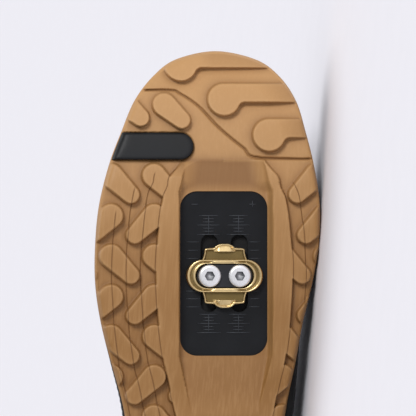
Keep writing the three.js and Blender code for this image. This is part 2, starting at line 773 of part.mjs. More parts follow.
// The upper: outer skin with the guard and the eyestay as steps, a rolled rim, and the lining with its pad
function makeUpper() {
  const step = 0.015;
  const outer = columnStations().map((c) => {
    const rand = around('rand', c);
    const stay = around('stay', c);
    const between = (share) => THREE.MathUtils.lerp(rand, stay, share);
    return [
      skin(c, 0, overlay),
      skin(c, rand * 0.5, overlay),
      skin(c, rand, overlay),
      skin(c, rand + step, 0),
      skin(c, between(0.5), 0),
      skin(c, stay - step, 0),
      skin(c, stay, overlay),
      skin(c, (1 + stay) / 2, overlay),
      skin(c, 1, overlay * 0.5),
    ];
  });
  const lining = [
    { t: 1, pad: 0.3 },
    { t: 0.92, pad: 1 },
    { t: 0.8, pad: 0.9 },
    { t: 0.64, pad: 0 },
    { t: 0.42, pad: 0 },
    { t: 0.21, pad: 0 },
    { t: 0, pad: 0 },
  ];
  const inner = columnStations().map((c) => {
    const pad = collarPad * Math.max(around('pad', c), 0);
    return lining.map((row) => skin(c, row.t, -wall - pad * row.pad));
  });
  const roll = columnStations().map((c, i) => {
    const middle = outer[i][outer[i].length - 1].clone().lerp(inner[i][0], 0.5);
    return middle.addScaledVector(sideCurve(c).getTangent(1), wall / 2);
  });
  const byRing = (list) => list[0].map((unused, r) => list.map((column) => column[r]));
  return solidFromRings([...byRing(outer), roll, ...byRing(inner)], true);
}

// Where the throat's rims, the eyelets and the edges of the tongue lie, on the way across from 1 to -1
const rimShare = 0.62;
const eyeletPlace = 0.915;

// Surface over the throat at table row j. It follows the medial side down to its rim, crosses in line
// with both sides, and follows the lateral side. across is 1 at the medial eyelet and -1 at the lateral one.
function throatSurface(j, across) {
  const c = across > 0 ? j : stations - j;
  const far = Math.abs(across);
  if (far > rimShare) {
    const t = 1 - ((far - rimShare) / (1 - rimShare)) * (1 - eyeletPlace);
    return sideCurve(c).getPoint(t);
  }
  const [medial, lateral] = [j, stations - j].map((station) => sideCurve(station));
  const a = medial.getPoint(1);
  const b = lateral.getPoint(1);
  const handle = 0.36 * a.distanceTo(b);
  const bridge = new THREE.CubicBezierCurve3(
    a,
    a.clone().addScaledVector(medial.getTangent(1), handle),
    b.clone().addScaledVector(lateral.getTangent(1), handle),
    b,
  );
  return bridge.getPoint(0.5 - (0.5 * across) / rimShare);
}

function throatNormal(j, across) {
  const alongRows = throatSurface(j + 0.15, across).sub(throatSurface(j - 0.15, across));
  const acrossRows = throatSurface(j, across + 0.04).sub(throatSurface(j, across - 0.04));
  return alongRows.cross(acrossRows).normalize();
}

function overThroat(j, across, raise) {
  return throatSurface(j, across).addScaledVector(throatNormal(j, across), raise);
}

// The tongue's rows, from under the vamp to the top of the throat, and how far across it reaches at each
const tongueRows = table('row reach', [
  [16.6, 1.60],
  [15.2, 1.60],
  [14.0, 1.60],
  [13.0, 1.58],
  [11.8, 1.52],
  [10.5, 1.42],
  [9.0, 1.18],
  [8.1, 0.98],
  [7.4, 0.68],
]);

// The tongue's head, which stands up past the throat. up is a share of tongueTop, half and arch of
// ballWidth, thick of tongueThickness.
const tongueHead = table('up half arch thick', [
  [0.30, 0.120, 0.056, 1.00],
  [0.70, 0.122, 0.046, 1.00],
  [0.94, 0.110, 0.038, 0.85],
  [1.00, 0.094, 0.032, 0.55],
]);
const headUp = new THREE.Vector3(-0.42, 0, 0.91);
const headFront = new THREE.Vector3(0.91, 0, 0.42);

// The tongue: sections along the throat, then those of its head. It thins towards its edges.
function makeTongue() {
  const places = [1, 0.75, 0.5, 0.25, 0, -0.25, -0.5, -0.75, -1];
  const gap = wall + 2 * clearance;
  const thickAt = (place) => tongueThickness * (1 - 0.56 * place * place);
  const section = (point) => {
    const face = places.map((place) => point(place, 0));
    const back = places.map((place) => point(place, thickAt(place)));
    return [...face, ...back.reverse()];
  };
  const loops = tongueRows.map(({ row, reach }) => section(
    (place, deep) => overThroat(row, place * reach, -gap - deep),
  ));
  const middle = loops[loops.length - 1][(places.length - 1) / 2];
  const head = tongueHead.map(({ up, half, arch, thick }) => section(
    (place, deep) => middle.clone()
      .addScaledVector(headUp, up * tongueTop)
      .addScaledVector(medialward, place * half * ballWidth)
      .addScaledVector(headFront, -place * place * arch * ballWidth - thick * deep),
  ));
  return loft([...loops, ...head]);
}

// Rows of eyelets from the vamp to the top of the throat
const eyeletRows = [12.4, 11.4, 10.45, 9.5, 8.55, 7.7];

function makeEyelet(j, side) {
  const foot = overlay + clearance;
  const section = [
    [eyeletBore, foot],
    [eyeletRadius, foot],
    [(eyeletBore + eyeletRadius) / 2, foot + eyeletHeight],
    [eyeletBore, foot],
  ];
  const turned = new THREE.LatheGeometry(section.map(([r, z]) => new THREE.Vector2(r, z)), 9);
  const upright = new THREE.Vector3(0, 1, 0);
  turned.applyQuaternion(new THREE.Quaternion().setFromUnitVectors(upright, throatNormal(j, side)));
  const place = throatSurface(j, side);
  turned.translate(place.x, place.y, place.z);
  return solidFromGeometry(turned);
}

// Flat strip of lace from one place on the throat to another, with its lift above the surface
function laceStrip(from, to, bow) {
  const stops = [0, 0.15, 0.5, 0.85, 1];
  const lift = overlay + 3 * clearance + eyeletHeight;
  const place = (s) => {
    const j = THREE.MathUtils.lerp(from.j, to.j, s);
    const across = THREE.MathUtils.lerp(from.across, to.across, s);
    const raise = lift + bow * Math.sin(Math.PI * s);
    return { point: overThroat(j, across, raise), normal: throatNormal(j, across) };
  };
  const loops = stops.map((s) => {
    const { point, normal } = place(s);
    const along = place(Math.min(s + 0.02, 1)).point.sub(place(Math.max(s - 0.02, 0)).point);
    const side = along.cross(normal).normalize();
    const corner = (w, h) => point.clone()
      .addScaledVector(side, (w * laceWidth) / 2)
      .addScaledVector(normal, h * laceThickness);
    return [corner(-1, 0), corner(1, 0), corner(1, 1), corner(-1, 1)];
  });
  return loft(loops);
}

function makeLaces() {
  const rows = eyeletRows;
  const reach = 1.05;
  const over = 0.6 * laceThickness;
  const strips = [laceStrip({ j: rows[0], across: reach }, { j: rows[0], across: -reach }, 0)];
  for (let i = 0; i + 1 < rows.length; i += 1) {
    strips.push(laceStrip({ j: rows[i], across: reach }, { j: rows[i + 1], across: -reach }, over));
    strips.push(laceStrip({ j: rows[i], across: -reach }, { j: rows[i + 1], across: reach }, 0));
  }
  return wasm.Manifold.union(strips);
}

function geometryOf(solid) {
  const mesh = solid.getMesh();
  const geometry = new THREE.BufferGeometry();
  geometry.setAttribute('position', new THREE.Float32BufferAttribute(mesh.vertProperties, 3));
  geometry.setIndex(new THREE.Uint32BufferAttribute(mesh.triVerts, 1));
  geometry.computeVertexNormals();
  return geometry;
}

const pieces = [
  { name: 'outsole', solid: makeOutsole(), finish: 'gum', weight: 'gum' },
  { name: 'badge', solid: makeBadge(), finish: 'nylon', weight: 'nylon' },
  { name: 'cleat_plate', solid: makeCleatPlate(), finish: 'nylon', weight: 'nylon' },
  { name: 'cleat', solid: makeCleat(), finish: 'brass', weight: 'brass' },
  { name: 'cleat_washer', solid: makeWasher(), finish: 'nylon', weight: 'steel' },
  { name: 'bolt_medial', solid: makeBolt(1), finish: 'steel', weight: 'steel' },
  { name: 'bolt_lateral', solid: makeBolt(-1), finish: 'steel', weight: 'steel' },
  { name: 'midsole', solid: makeMidsole(), finish: 'black', weight: 'foam' },
  { name: 'insole', solid: makeInsole(), finish: 'knit', weight: 'foam' },
  { name: 'upper', solid: makeUpper(), finish: 'black', weight: 'textile' },
  { name: 'tongue', solid: makeTongue(), finish: 'knit', weight: 'textile' },
  { name: 'laces', solid: makeLaces(), finish: 'knit', weight: 'textile' },
];
eyeletRows.forEach((j, i) => {
  for (const [where, side] of [['medial', 1], ['lateral', -1]]) {
    const name = `eyelet_${where}_${i + 1}`;
    pieces.push({ name, solid: makeEyelet(j, side), finish: 'black', weight: 'nylon' });
  }
});

// Centre of mass of one mesh, from the signed tetrahedra between its triangles and the origin
function momentOf(geometry) {
  const position = geometry.attributes.position;
  const index = geometry.index;
  const corner = (i) => new THREE.Vector3().fromBufferAttribute(position, index.getX(i));
  const sum = new THREE.Vector3();
  let volume = 0;
  for (let i = 0; i < index.count; i += 3) {
    const [a, b, c] = [corner(i), corner(i + 1), corner(i + 2)];
    const share = a.dot(b.clone().cross(c)) / 6;
    volume += share;
    sum.addScaledVector(a.add(b).add(c), share / 4);
  }
  return { volume, sum };
}

// The floor's direction, in the upright shoe: of the flat faces of the shoe's hull that look to the medial
// side, the one that lies nearest to the centre of mass, which is where the shoe comes to rest
function restingSide(meshes) {
  const centre = new THREE.Vector3();
  let mass = 0;
  const points = [];
  for (const mesh of meshes) {
    const { volume, sum } = momentOf(mesh.geometry);
    centre.addScaledVector(sum, mesh.userData.density);
    mass += volume * mesh.userData.density;
    const position = mesh.geometry.attributes.position;
    for (let i = 0; i < position.count; i += 1) {
      points.push(new THREE.Vector3().fromBufferAttribute(position, i));
    }
  }
  centre.divideScalar(mass);
  const faces = new ConvexHull().setFromPoints(points).faces
    .filter((face) => face.normal.dot(medialward) > 0.8);
  faces.sort((a, b) => Math.abs(a.distanceToPoint(centre)) - Math.abs(b.distanceToPoint(centre)));
  return faces[0].normal.clone();
}

// Turns the shoe so that its medial side is down and its length runs along x, with the origin under the
// middle of its box
function layDown(shoe) {
  const up = restingSide(shoe.children).negate();
  const along = toeward.clone().addScaledVector(up, -toeward.dot(up)).normalize();
  const back = up.clone().cross(along);
  const turn = new THREE.Matrix4().makeBasis(along, back, up).transpose();
  shoe.quaternion.setFromRotationMatrix(turn);
  shoe.updateMatrixWorld(true);
  const box = new THREE.Box3().setFromObject(shoe, true);
  shoe.position.set(-(box.min.x + box.max.x) / 2, -(box.min.y + box.max.y) / 2, -box.min.z);
}

const shoe = new THREE.Group();
for (const { name, solid, finish, weight } of pieces) {
  const mesh = new THREE.Mesh(geometryOf(solid), new THREE.MeshStandardMaterial(finishes[finish]));
  mesh.name = name;
  mesh.userData.density = density[weight];
  shoe.add(mesh);
}
layDown(shoe);

const group = new THREE.Group();
group.add(shoe);

export default group;
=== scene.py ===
import json

import bmesh
import bpy
import numpy as np
from mathutils import Matrix, Vector


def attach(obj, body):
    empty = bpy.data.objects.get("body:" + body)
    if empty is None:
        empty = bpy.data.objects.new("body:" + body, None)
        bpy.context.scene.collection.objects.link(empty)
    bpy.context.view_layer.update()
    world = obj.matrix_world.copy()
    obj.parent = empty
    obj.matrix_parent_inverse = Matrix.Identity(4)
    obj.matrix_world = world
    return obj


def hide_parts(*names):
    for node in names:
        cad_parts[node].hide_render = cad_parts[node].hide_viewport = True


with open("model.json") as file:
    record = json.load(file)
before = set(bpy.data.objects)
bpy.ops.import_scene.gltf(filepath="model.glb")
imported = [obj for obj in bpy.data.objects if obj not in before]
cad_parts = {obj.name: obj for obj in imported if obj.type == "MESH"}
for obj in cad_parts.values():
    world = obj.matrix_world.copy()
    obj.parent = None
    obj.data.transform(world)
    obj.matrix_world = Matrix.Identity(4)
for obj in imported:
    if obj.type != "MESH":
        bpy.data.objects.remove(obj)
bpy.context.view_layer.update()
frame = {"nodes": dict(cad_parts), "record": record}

# All shapes are worked out upright, in millimetres: x from heel to toe, y towards the medial side,
# z up from the tread plane. place() lays them down where the frame has the shoe.
shoe = {
    "length": 292.0,
    "ballWidth": 105.0,
    "upperHeight": 96.0,
    "toeSpring": 25.0,
    "lugHeight": 4.0,
    "webThickness": 3.7,
    "foamThickness": 9.5,
    "insoleThickness": 4.0,
    "clearance": 0.3,
    "wall": 2.2,
    "overlay": 0.9,
    "collarPad": 5.0,
    "seatLedge": 0.8,  # the side's foot stands this far in
    "spineEnds": (4, 13),  # stations between which the sole's middle line runs
    "heelMount": (41.0, -18.7, 0.0),  # where the mount heel_tread lies, upright
}
length = shoe["length"]
ballWidth = shoe["ballWidth"]
upperHeight = shoe["upperHeight"]
clearance = shoe["clearance"]
seatLevel = shoe["lugHeight"] + shoe["webThickness"]
bedLevel = seatLevel + clearance + shoe["foamThickness"]
windowSize = {"long": 76.8, "wide": 40.8, "corner": 8.0}
cleatX = 0.6432 * length
cleatY = 0.0733 * ballWidth
windowX = cleatX + 1.1
windowY = cleatY - 0.3
windowFront = windowX + windowSize["long"] / 2
windowBack = windowX - windowSize["long"] / 2
boltSpacing = 14.0

mounts = {m["name"]: m for m in frame["record"]["mounts"]}
heelMount = np.array(mounts["heel_tread"]["pos_m"])
foreMount = np.array(mounts["forefoot_tread"]["pos_m"])
shoeUp = -np.array(mounts["heel_tread"]["axis"])
shoeUp /= np.linalg.norm(shoeUp)
shoeAlong = foreMount - heelMount
shoeAlong -= shoeUp * (shoeAlong @ shoeUp)
shoeAlong /= np.linalg.norm(shoeAlong)
shoeMedial = np.cross(shoeUp, shoeAlong)
shoeAxes = np.stack([shoeAlong, shoeMedial, shoeUp])
shoeOrigin = heelMount - 0.001 * np.array(shoe["heelMount"]) @ shoeAxes


def place(points):
    # upright millimetres to the frame's metres: origin + x along + y medial + z up
    return shoeOrigin + 0.001 * np.asarray(points) @ shoeAxes


def stack(*parts):
    # coordinates, single or in arrays, joined to points
    return np.stack(np.broadcast_arrays(*parts), axis=-1).astype(float)


def raised(plan, z):
    # plan points at a height
    return stack(plan[..., 0], plan[..., 1], z)


def fullTurn(count):
    return np.linspace(0, 2 * np.pi, count, endpoint=False)


def runLength(path):
    # how far along a path each of its points lies
    return np.concatenate([[0], np.cumsum(np.linalg.norm(np.diff(path, axis=0), axis=-1))])


def catmullRom(p0, p1, p2, p3, t):
    # the cubic from p1 to p2 whose slope at each is half the chord between its neighbours
    return p1 + 0.5 * t * (p2 - p0 + t * ((3 * p1 - p0 - 3 * p2 + p3) * t + 2 * p0 - 5 * p1 + 4 * p2 - p3))


def smooth(low, high, value):
    # 0 below low, 1 above high, and an S between
    t = np.clip((value - low) / (high - low), 0, 1)
    return t * t * (3 - 2 * t)


def mix(a, b, share):
    return a + (b - a) * share


def unit(v):
    return v / np.maximum(np.linalg.norm(v, axis=-1, keepdims=True), 1e-12)


# Camera: the photograph's angle to the sole, rolled so that the toe is up
cameraView = {
    "target": (219.5, -0.3, 0.0),
    "leanDeg": 3.0,  # from square on the sole towards its lateral side
    "toeDeg": 0.3,  # and towards its toe
    "distance": 1.880,
    "lens": 350.0,
    "sensor": 36.0,
    "clip": (0.05, 200.0),
}


def makeCamera():
    data = bpy.data.cameras.new("camera")
    data.lens = cameraView["lens"]
    data.sensor_width = cameraView["sensor"]
    data.clip_start, data.clip_end = cameraView["clip"]
    camera = bpy.data.objects.new("camera", data)
    bpy.context.scene.collection.objects.link(camera)
    target = Vector(place(cameraView["target"]))
    lean, toe = np.tan(np.radians([cameraView["leanDeg"], cameraView["toeDeg"]]))
    back = Vector(-shoeUp - shoeMedial * lean + shoeAlong * toe).normalized()
    up = Vector(shoeAlong)
    right = up.cross(back).normalized()
    up = back.cross(right)
    turn = Matrix((right, up, back)).transposed().to_4x4()
    camera.matrix_world = Matrix.Translation(target + back * cameraView["distance"]) @ turn
    bpy.context.scene.camera = camera


makeCamera()
print("camera placed")


# Tables of the last: at is a share of length, across and half of ballWidth
def table(names, rows):
    columns = np.array(rows, float).T
    return dict(zip(names.split(), columns))


outline = table("at medial lateral tuckMedial tuckLateral", [
    (0.0000, 0.021, -0.021, 0.014, 0.014),
    (0.0137, 0.195, 0.157, 0.013, 0.013),
    (0.0548, 0.309, 0.274, 0.011, 0.011),
    (0.1233, 0.350, 0.322, 0.006, 0.008),
    (0.2055, 0.345, 0.330, -0.004, 0.004),
    (0.2911, 0.331, 0.335, -0.020, 0.002),
    (0.3699, 0.330, 0.350, -0.036, 0.002),
    (0.4384, 0.354, 0.379, -0.034, 0.005),
    (0.5031, 0.390, 0.429, -0.012, 0.009),
    (0.5668, 0.422, 0.475, 0.006, 0.012),
    (0.6305, 0.464, 0.501, 0.013, 0.014),
    (0.6942, 0.496, 0.501, 0.014, 0.014),
    (0.7579, 0.499, 0.483, 0.015, 0.015),
    (0.8216, 0.474, 0.438, 0.015, 0.015),
    (0.8733, 0.441, 0.383, 0.015, 0.015),
    (0.9240, 0.401, 0.322, 0.017, 0.016),
    (0.9640, 0.330, 0.236, 0.019, 0.018),
    (0.9915, 0.227, 0.132, 0.020, 0.020),
    (1.0050, 0.047, -0.045, 0.022, 0.022),
])

sections = table("rimAt rimHalf rimHigh lift bulge reach drop rand stay pad", [
    (0.017, 0.000, 0.823, 0.188, 0.029, 0.003, 0.167, 0.42, 0.80, 1.0),
    (0.024, 0.114, 0.813, 0.188, 0.029, 0.003, 0.167, 0.42, 0.80, 1.0),
    (0.051, 0.238, 0.760, 0.188, 0.024, 0.005, 0.167, 0.40, 0.79, 1.0),
    (0.116, 0.295, 0.688, 0.167, 0.019, 0.009, 0.146, 0.34, 0.77, 1.0),
    (0.199, 0.305, 0.667, 0.156, 0.019, 0.010, 0.135, 0.24, 0.76, 1.0),
    (0.274, 0.267, 0.760, 0.188, 0.019, 0.017, 0.146, 0.18, 0.79, 0.9),
    (0.332, 0.200, 0.917, 0.250, 0.014, 0.031, 0.146, 0.16, 0.82, 0.5),
    (0.363, 0.157, 1.000, 0.313, 0.014, 0.045, 0.125, 0.15, 0.83, 0.0),
    (0.418, 0.148, 0.948, 0.292, 0.012, 0.051, 0.094, 0.15, 0.82, 0.0),
    (0.483, 0.143, 0.865, 0.260, 0.010, 0.055, 0.073, 0.15, 0.80, 0.0),
    (0.545, 0.138, 0.786, 0.229, 0.010, 0.058, 0.063, 0.16, 0.78, 0.0),
    (0.599, 0.133, 0.714, 0.208, 0.010, 0.058, 0.052, 0.17, 0.77, 0.0),
    (0.647, 0.124, 0.656, 0.198, 0.010, 0.062, 0.052, 0.19, 0.77, 0.0),
    (0.678, 0.100, 0.625, 0.198, 0.010, 0.075, 0.052, 0.21, 0.80, 0.0),
    (0.694, 0.071, 0.604, 0.208, 0.010, 0.092, 0.063, 0.24, 0.83, 0.0),
    (0.700, 0.048, 0.599, 0.208, 0.010, 0.106, 0.073, 0.28, 0.86, 0.0),
    (0.704, 0.029, 0.596, 0.208, 0.010, 0.116, 0.083, 0.32, 0.88, 0.0),
    (0.705, 0.014, 0.594, 0.208, 0.010, 0.123, 0.083, 0.34, 0.89, 0.0),
    (0.706, 0.000, 0.594, 0.208, 0.010, 0.127, 0.083, 0.35, 0.89, 0.0),
])

sideView = table("at tread seat bed", [
    (0.000, 0.360, 0.392, 0.400),
    (0.048, 0.048, 0.110, 0.392),
    (0.075, 0.000, 0.062, 0.388),
    (0.257, 0.000, 0.052, 0.350),
    (0.343, 0.110, 0.110, 0.290),
    (0.428, 0.130, 0.110, 0.170),
    (0.512, 0.048, 0.000, 0.080),
    (0.610, 0.000, 0.000, 0.000),
    (0.719, 0.000, 0.000, 0.000),
    (0.788, 0.072, 0.000, 0.030),
    (0.822, 0.148, 0.140, 0.060),
    (0.873, 0.300, 0.332, 0.190),
    (0.925, 0.520, 0.512, 0.360),
    (1.000, 1.000, 1.020, 0.820),
])


def profile(at, values):
    # a curve through a column that never overshoots: each row's slope is the harmonic mean of its chords
    x = at * length
    chord = np.diff(values) / np.diff(x)
    slope = np.empty_like(values)
    slope[0], slope[-1] = chord[0], chord[-1]
    left, right = chord[:-1], chord[1:]
    level = left * right <= 0
    slope[1:-1] = np.where(level, 0, 2 * left * right / np.where(level, 1, left + right))

    def curve(where):
        where = np.clip(where, x[0], x[-1])
        i = np.clip(np.searchsorted(x, where, side="right") - 1, 0, len(x) - 2)
        step = x[i + 1] - x[i]
        t = (where - x[i]) / step
        a = values[i] * (1 + 2 * t) + slope[i] * step * t
        b = values[i + 1] * (3 - 2 * t) - slope[i + 1] * step * (1 - t)
        return a * (1 - t) ** 2 + b * t**2

    return curve


treadHeight = profile(sideView["at"], sideView["tread"] * shoe["toeSpring"])
seatRise = profile(sideView["at"], sideView["seat"] * shoe["toeSpring"])
bedRise = profile(sideView["at"], sideView["bed"] * shoe["toeSpring"])


def floorHeight(x):
    return treadHeight(x) + shoe["lugHeight"]


def seatHeight(x):
    return seatLevel + seatRise(x)


def bedHeight(x):
    return bedLevel + bedRise(x)


def ringOf(medial, lateral):
    # a column laid round the shoe: heel, up the medial side, toe, down the lateral side
    return np.concatenate([medial, lateral[1:-1][::-1]])


ring = {
    "at": ringOf(outline["at"], outline["at"]),
    "side": ringOf(outline["medial"], -outline["lateral"]),
    "tuck": ringOf(outline["tuckMedial"], outline["tuckLateral"]),
    "rimSide": ringOf(sections["rimHalf"], -sections["rimHalf"]),
}
for key in ("rimAt", "rimHigh", "lift", "bulge", "reach", "drop", "rand", "stay", "pad"):
    ring[key] = ringOf(sections[key], sections[key])
stations = len(ring["at"])


def around(key, c):
    # closed Catmull-Rom curve through a ring's values
    values = ring[key]
    i = np.floor(c).astype(int)
    t = c - i
    return catmullRom(*(values[(i + k) % stations] for k in (-1, 0, 1, 2)), t)


def soleEdge(c):
    return stack(length * around("at", c), ballWidth * around("side", c))


def edgeNormal(c):
    along = unit(soleEdge(c + 0.05) - soleEdge(c - 0.05))
    return stack(-along[..., 1], along[..., 0])


def insetEdge(c, inset):
    return soleEdge(c) - edgeNormal(c) * np.asarray(inset)[..., None]


def tuckAt(c):
    return ballWidth * around("tuck", c)


def seatEdge(c):
    return np.maximum(tuckAt(c), 0) + shoe["seatLedge"]


def insoleEdge(c):
    return tuckAt(c) + shoe["wall"] + 2 * clearance


def spine(c):
    # middle line of the sole, which stops short of heel and toe
    row = np.clip(np.minimum(c, stations - c), *shoe["spineEnds"])
    return 0.5 * (soleEdge(row) + soleEdge(stations - row))


# Materials
def colour(red, green, blue):
    # sRGB as seen, 0 to 255, to linear
    v = np.array([red, green, blue]) / 255
    return (*np.where(v <= 0.04045, v / 12.92, ((v + 0.055) / 1.055) ** 2.4), 1.0)


class Nodes:
    # a short way to write a node tree: each call adds one node and returns it
    def __init__(self, name):
        self.material = bpy.data.materials.new(name)
        self.material.use_nodes = True
        self.tree = self.material.node_tree
        self.shader = self.tree.nodes["Principled BSDF"]

    def add(self, kind, inputs=(), **settings):
        node = self.tree.nodes.new(kind)
        for key, value in settings.items():
            setattr(node, key, value)
        for key, value in dict(inputs).items():
            self.put(node.inputs[key], value)
        return node

    def put(self, socket, value):
        if isinstance(value, bpy.types.NodeSocket):
            self.tree.links.new(value, socket)
        else:
            socket.default_value = value

    def mapped(self, where, scale, turn=(0, 0, 0)):
        inputs = {"Vector": where, "Scale": scale, "Rotation": turn}
        return self.add("ShaderNodeMapping", inputs).outputs["Vector"]

    def objectPlace(self, scale=(1, 1, 1)):
        return self.mapped(self.add("ShaderNodeTexCoord").outputs["Object"], scale)

    def uvPlace(self, scale=(1, 1, 1), turn=(0, 0, 0)):
        return self.mapped(self.add("ShaderNodeUVMap", uv_map="UVMap").outputs["UV"], scale, turn)

    def attribute(self, name):
        return self.add("ShaderNodeAttribute", attribute_name=name).outputs["Fac"]

    def noise(self, where, scale, detail=3.0, roughness=0.5):
        inputs = {"Vector": where, "Scale": scale, "Detail": detail, "Roughness": roughness}
        return self.add("ShaderNodeTexNoise", inputs).outputs["Fac"]

    def maths(self, operation, a, b=0.0, clamp=False):
        node = self.add("ShaderNodeMath", operation=operation, use_clamp=clamp)
        self.put(node.inputs[0], a)
        self.put(node.inputs[1], b)
        return node.outputs[0]

    def span(self, value, low, high, toLow=0.0, toHigh=1.0, smooth=True):
        node = self.add("ShaderNodeMapRange", interpolation_type="SMOOTHSTEP" if smooth else "LINEAR")
        for key, v in (("Value", value), ("From Min", low), ("From Max", high),
                       ("To Min", toLow), ("To Max", toHigh)):
            self.put(node.inputs[key], v)
        return node.outputs["Result"]

    def blend(self, share, a, b, mode="MIX"):
        node = self.add("ShaderNodeMix", data_type="RGBA", blend_type=mode)
        self.put(node.inputs[0], share)
        self.put(node.inputs[6], a)
        self.put(node.inputs[7], b)
        return node.outputs[2]

    def bump(self, height, distance, strength=1.0):
        node = self.add("ShaderNodeBump", {"Height": height, "Distance": distance, "Strength": strength})
        self.put(self.shader.inputs["Normal"], node.outputs["Normal"])

    def finish(self, **sockets):
        names = {"colour": "Base Color", "roughness": "Roughness", "metallic": "Metallic",
                 "specular": "Specular IOR Level", "coat": "Coat Weight",
                 "coatRoughness": "Coat Roughness", "sheen": "Sheen Weight",
                 "sheenRoughness": "Sheen Roughness"}
        for key, value in sockets.items():
            self.put(self.shader.inputs[names[key]], value)
        return self.material


gum = {
    # toe and arch: the same gum, lit at the toe and shaded towards the arch, a painted falloff of light
    "toe": (189, 145, 95),
    "arch": (141, 100, 53),
    "light": (198, 156, 107),
    # edge: lighter lug edges, partly wear and partly painted highlight
    "edge": (208, 167, 120),
    # dark: painted shade in the flex lines, the trough, the groove and at the lugs' feet
    "dark": (112, 74, 40),
    "lineGap": 6.75,  # between the flex lines, from the island's edge outwards
    "lineWidth": 0.42,
}


def gumMaterial():
    # Flex lines lie where the distance from the island is a whole number of gaps, and their dark is painted
    # shade in the grooves. Streaks are noise drawn out along the shoe. Painted shade darkens the trough, the
    # groove and the lugs' feet; the lugs' edges are lighter, partly by wear and partly by painted highlight;
    # the toe is lighter than the arch, a painted falloff of light.
    n = Nodes("gumRubber")
    where = n.objectPlace()
    streaks = n.noise(n.objectPlace((60, 900, 900)), 1.0, 4.0, 0.6)
    grain = n.noise(where, 2600.0, 3.0)
    cloud = n.noise(where, 26.0, 3.0)
    toLine = n.maths("PINGPONG", n.attribute("islandGap"), gum["lineGap"] / 2)
    line = n.maths("MULTIPLY", n.span(toLine, 0.0, gum["lineWidth"], 1.0, 0.0), n.attribute("flexZone"))
    # painted light: lighter towards the toe, shaded towards the arch
    base = n.blend(n.attribute("toeward"), colour(*gum["arch"]), colour(*gum["toe"]))
    base = n.blend(n.span(cloud, 0.35, 0.65, 0.0, 0.1), base, colour(*gum["light"]))
    base = n.blend(n.span(streaks, 0.42, 0.7, 0.0, 0.16), base, colour(*gum["light"]))
    # painted shade in lines, trough, groove and lug feet; wear with painted highlight on lug edges
    for mask, share, tone in ((line, 0.75, "dark"), (n.attribute("troughShade"), 0.62, "dark"),
                              (n.attribute("footAndGrooveShade"), 0.5, "dark"), (n.attribute("wornAndHighlit"), 0.8, "edge")):
        base = n.blend(n.maths("MULTIPLY", mask, share), base, colour(*gum[tone]))
    fine = n.maths("ADD", n.maths("MULTIPLY", streaks, 0.35), n.maths("MULTIPLY", grain, 0.12))
    n.bump(n.maths("SUBTRACT", fine, n.maths("MULTIPLY", line, 2.4)), 0.00012, 0.9)
    rough = n.span(cloud, 0.3, 0.7, 0.5, 0.6)
    return n.finish(colour=base, roughness=rough, specular=0.35)


def darkMaterial(name, low, high, grainScale, grainDepth, rough, **more):
    # near-black moulded surface: two close shades in soft clouds, and a fine grain
    n = Nodes(name)
    where = n.objectPlace()
    cloud = n.noise(where, 40.0, 4.0)
    grain = n.noise(where, grainScale, 2.0)
    base = n.blend(n.span(cloud, 0.35, 0.65), colour(*low), colour(*high))
    n.bump(grain, grainDepth, 0.7)
    return n.finish(colour=base, roughness=n.span(cloud, 0.3, 0.7, rough, rough + 0.1), **more)


gumRubber = gumMaterial()
badgeRubber = darkMaterial("badgeRubber", (13, 14, 16), (19, 21, 24), 1800, 0.00005, 0.42, specular=0.25)
plateNylon = darkMaterial("plateNylon", (12, 14, 17), (19, 21, 25), 1500, 0.00004, 0.42, specular=0.22)
# the raised marks are painted lighter than the plate: painted highlight for the light they catch
plateMarkHighlight = darkMaterial("plateMarkHighlight", (46, 50, 56), (62, 66, 72), 3000, 0.00002, 0.4, specular=0.5)
midsoleFoam = darkMaterial("midsoleFoam", (10, 10, 11), (17, 17, 18), 1400, 0.00012, 0.66, specular=0.3)
washerBlack = darkMaterial("washerBlack", (20, 21, 25), (30, 31, 36), 2200, 0.00004, 0.4, specular=0.4)
eyeletBlack = darkMaterial("eyeletBlack", (38, 38, 42), (60, 60, 66), 2400, 0.00003, 0.22, coat=0.5)
print("plain materials made")


def brassMaterial():
    # dark cast brass with clouds of stain, bright where the mesh's mask is high: polish and painted highlight
    # on crests, rim and nose; where it is low, painted shade in grooves and on floors
    n = Nodes("cleatBrass")
    where = n.objectPlace()
    cast = n.noise(where, 900.0, 4.0, 0.65)
    stain = n.noise(where, 160.0, 4.0)
    polishAndHighlight = n.attribute("polishAndHighlight")
    base = n.blend(polishAndHighlight, colour(112, 95, 58), colour(228, 202, 149))
    base = n.blend(n.span(stain, 0.45, 0.75, 0.0, 0.25), base, colour(150, 126, 80))
    n.bump(cast, 0.00008, 0.6)
    rough = n.span(polishAndHighlight, 0.0, 1.0, 0.55, 0.3, smooth=False)
    return n.finish(colour=base, roughness=rough, metallic=1.0)


def steelMaterial():
    # turned steel, with painted shade in the socket
    n = Nodes("boltSteel")
    where = n.objectPlace((300, 300, 300))
    turned = n.noise(where, 9.0, 5.0, 0.7)
    base = n.blend(n.span(turned, 0.35, 0.65), colour(228, 228, 230), colour(242, 242, 244))
    base = n.blend(n.attribute("socket"), base, colour(92, 93, 97))
    n.bump(turned, 0.00002, 0.5)
    return n.finish(colour=base, roughness=0.34, metallic=0.7)


def weave(n, scale):
    # plain weave: two crossed waves, each thread high where the other is low
    where = n.uvPlace((scale, scale, scale))
    split = n.add("ShaderNodeSeparateXYZ", {"Vector": where})
    u = n.maths("SINE", split.outputs[0])
    v = n.maths("SINE", split.outputs[1])
    return n.maths("ABSOLUTE", n.maths("MULTIPLY", u, v))


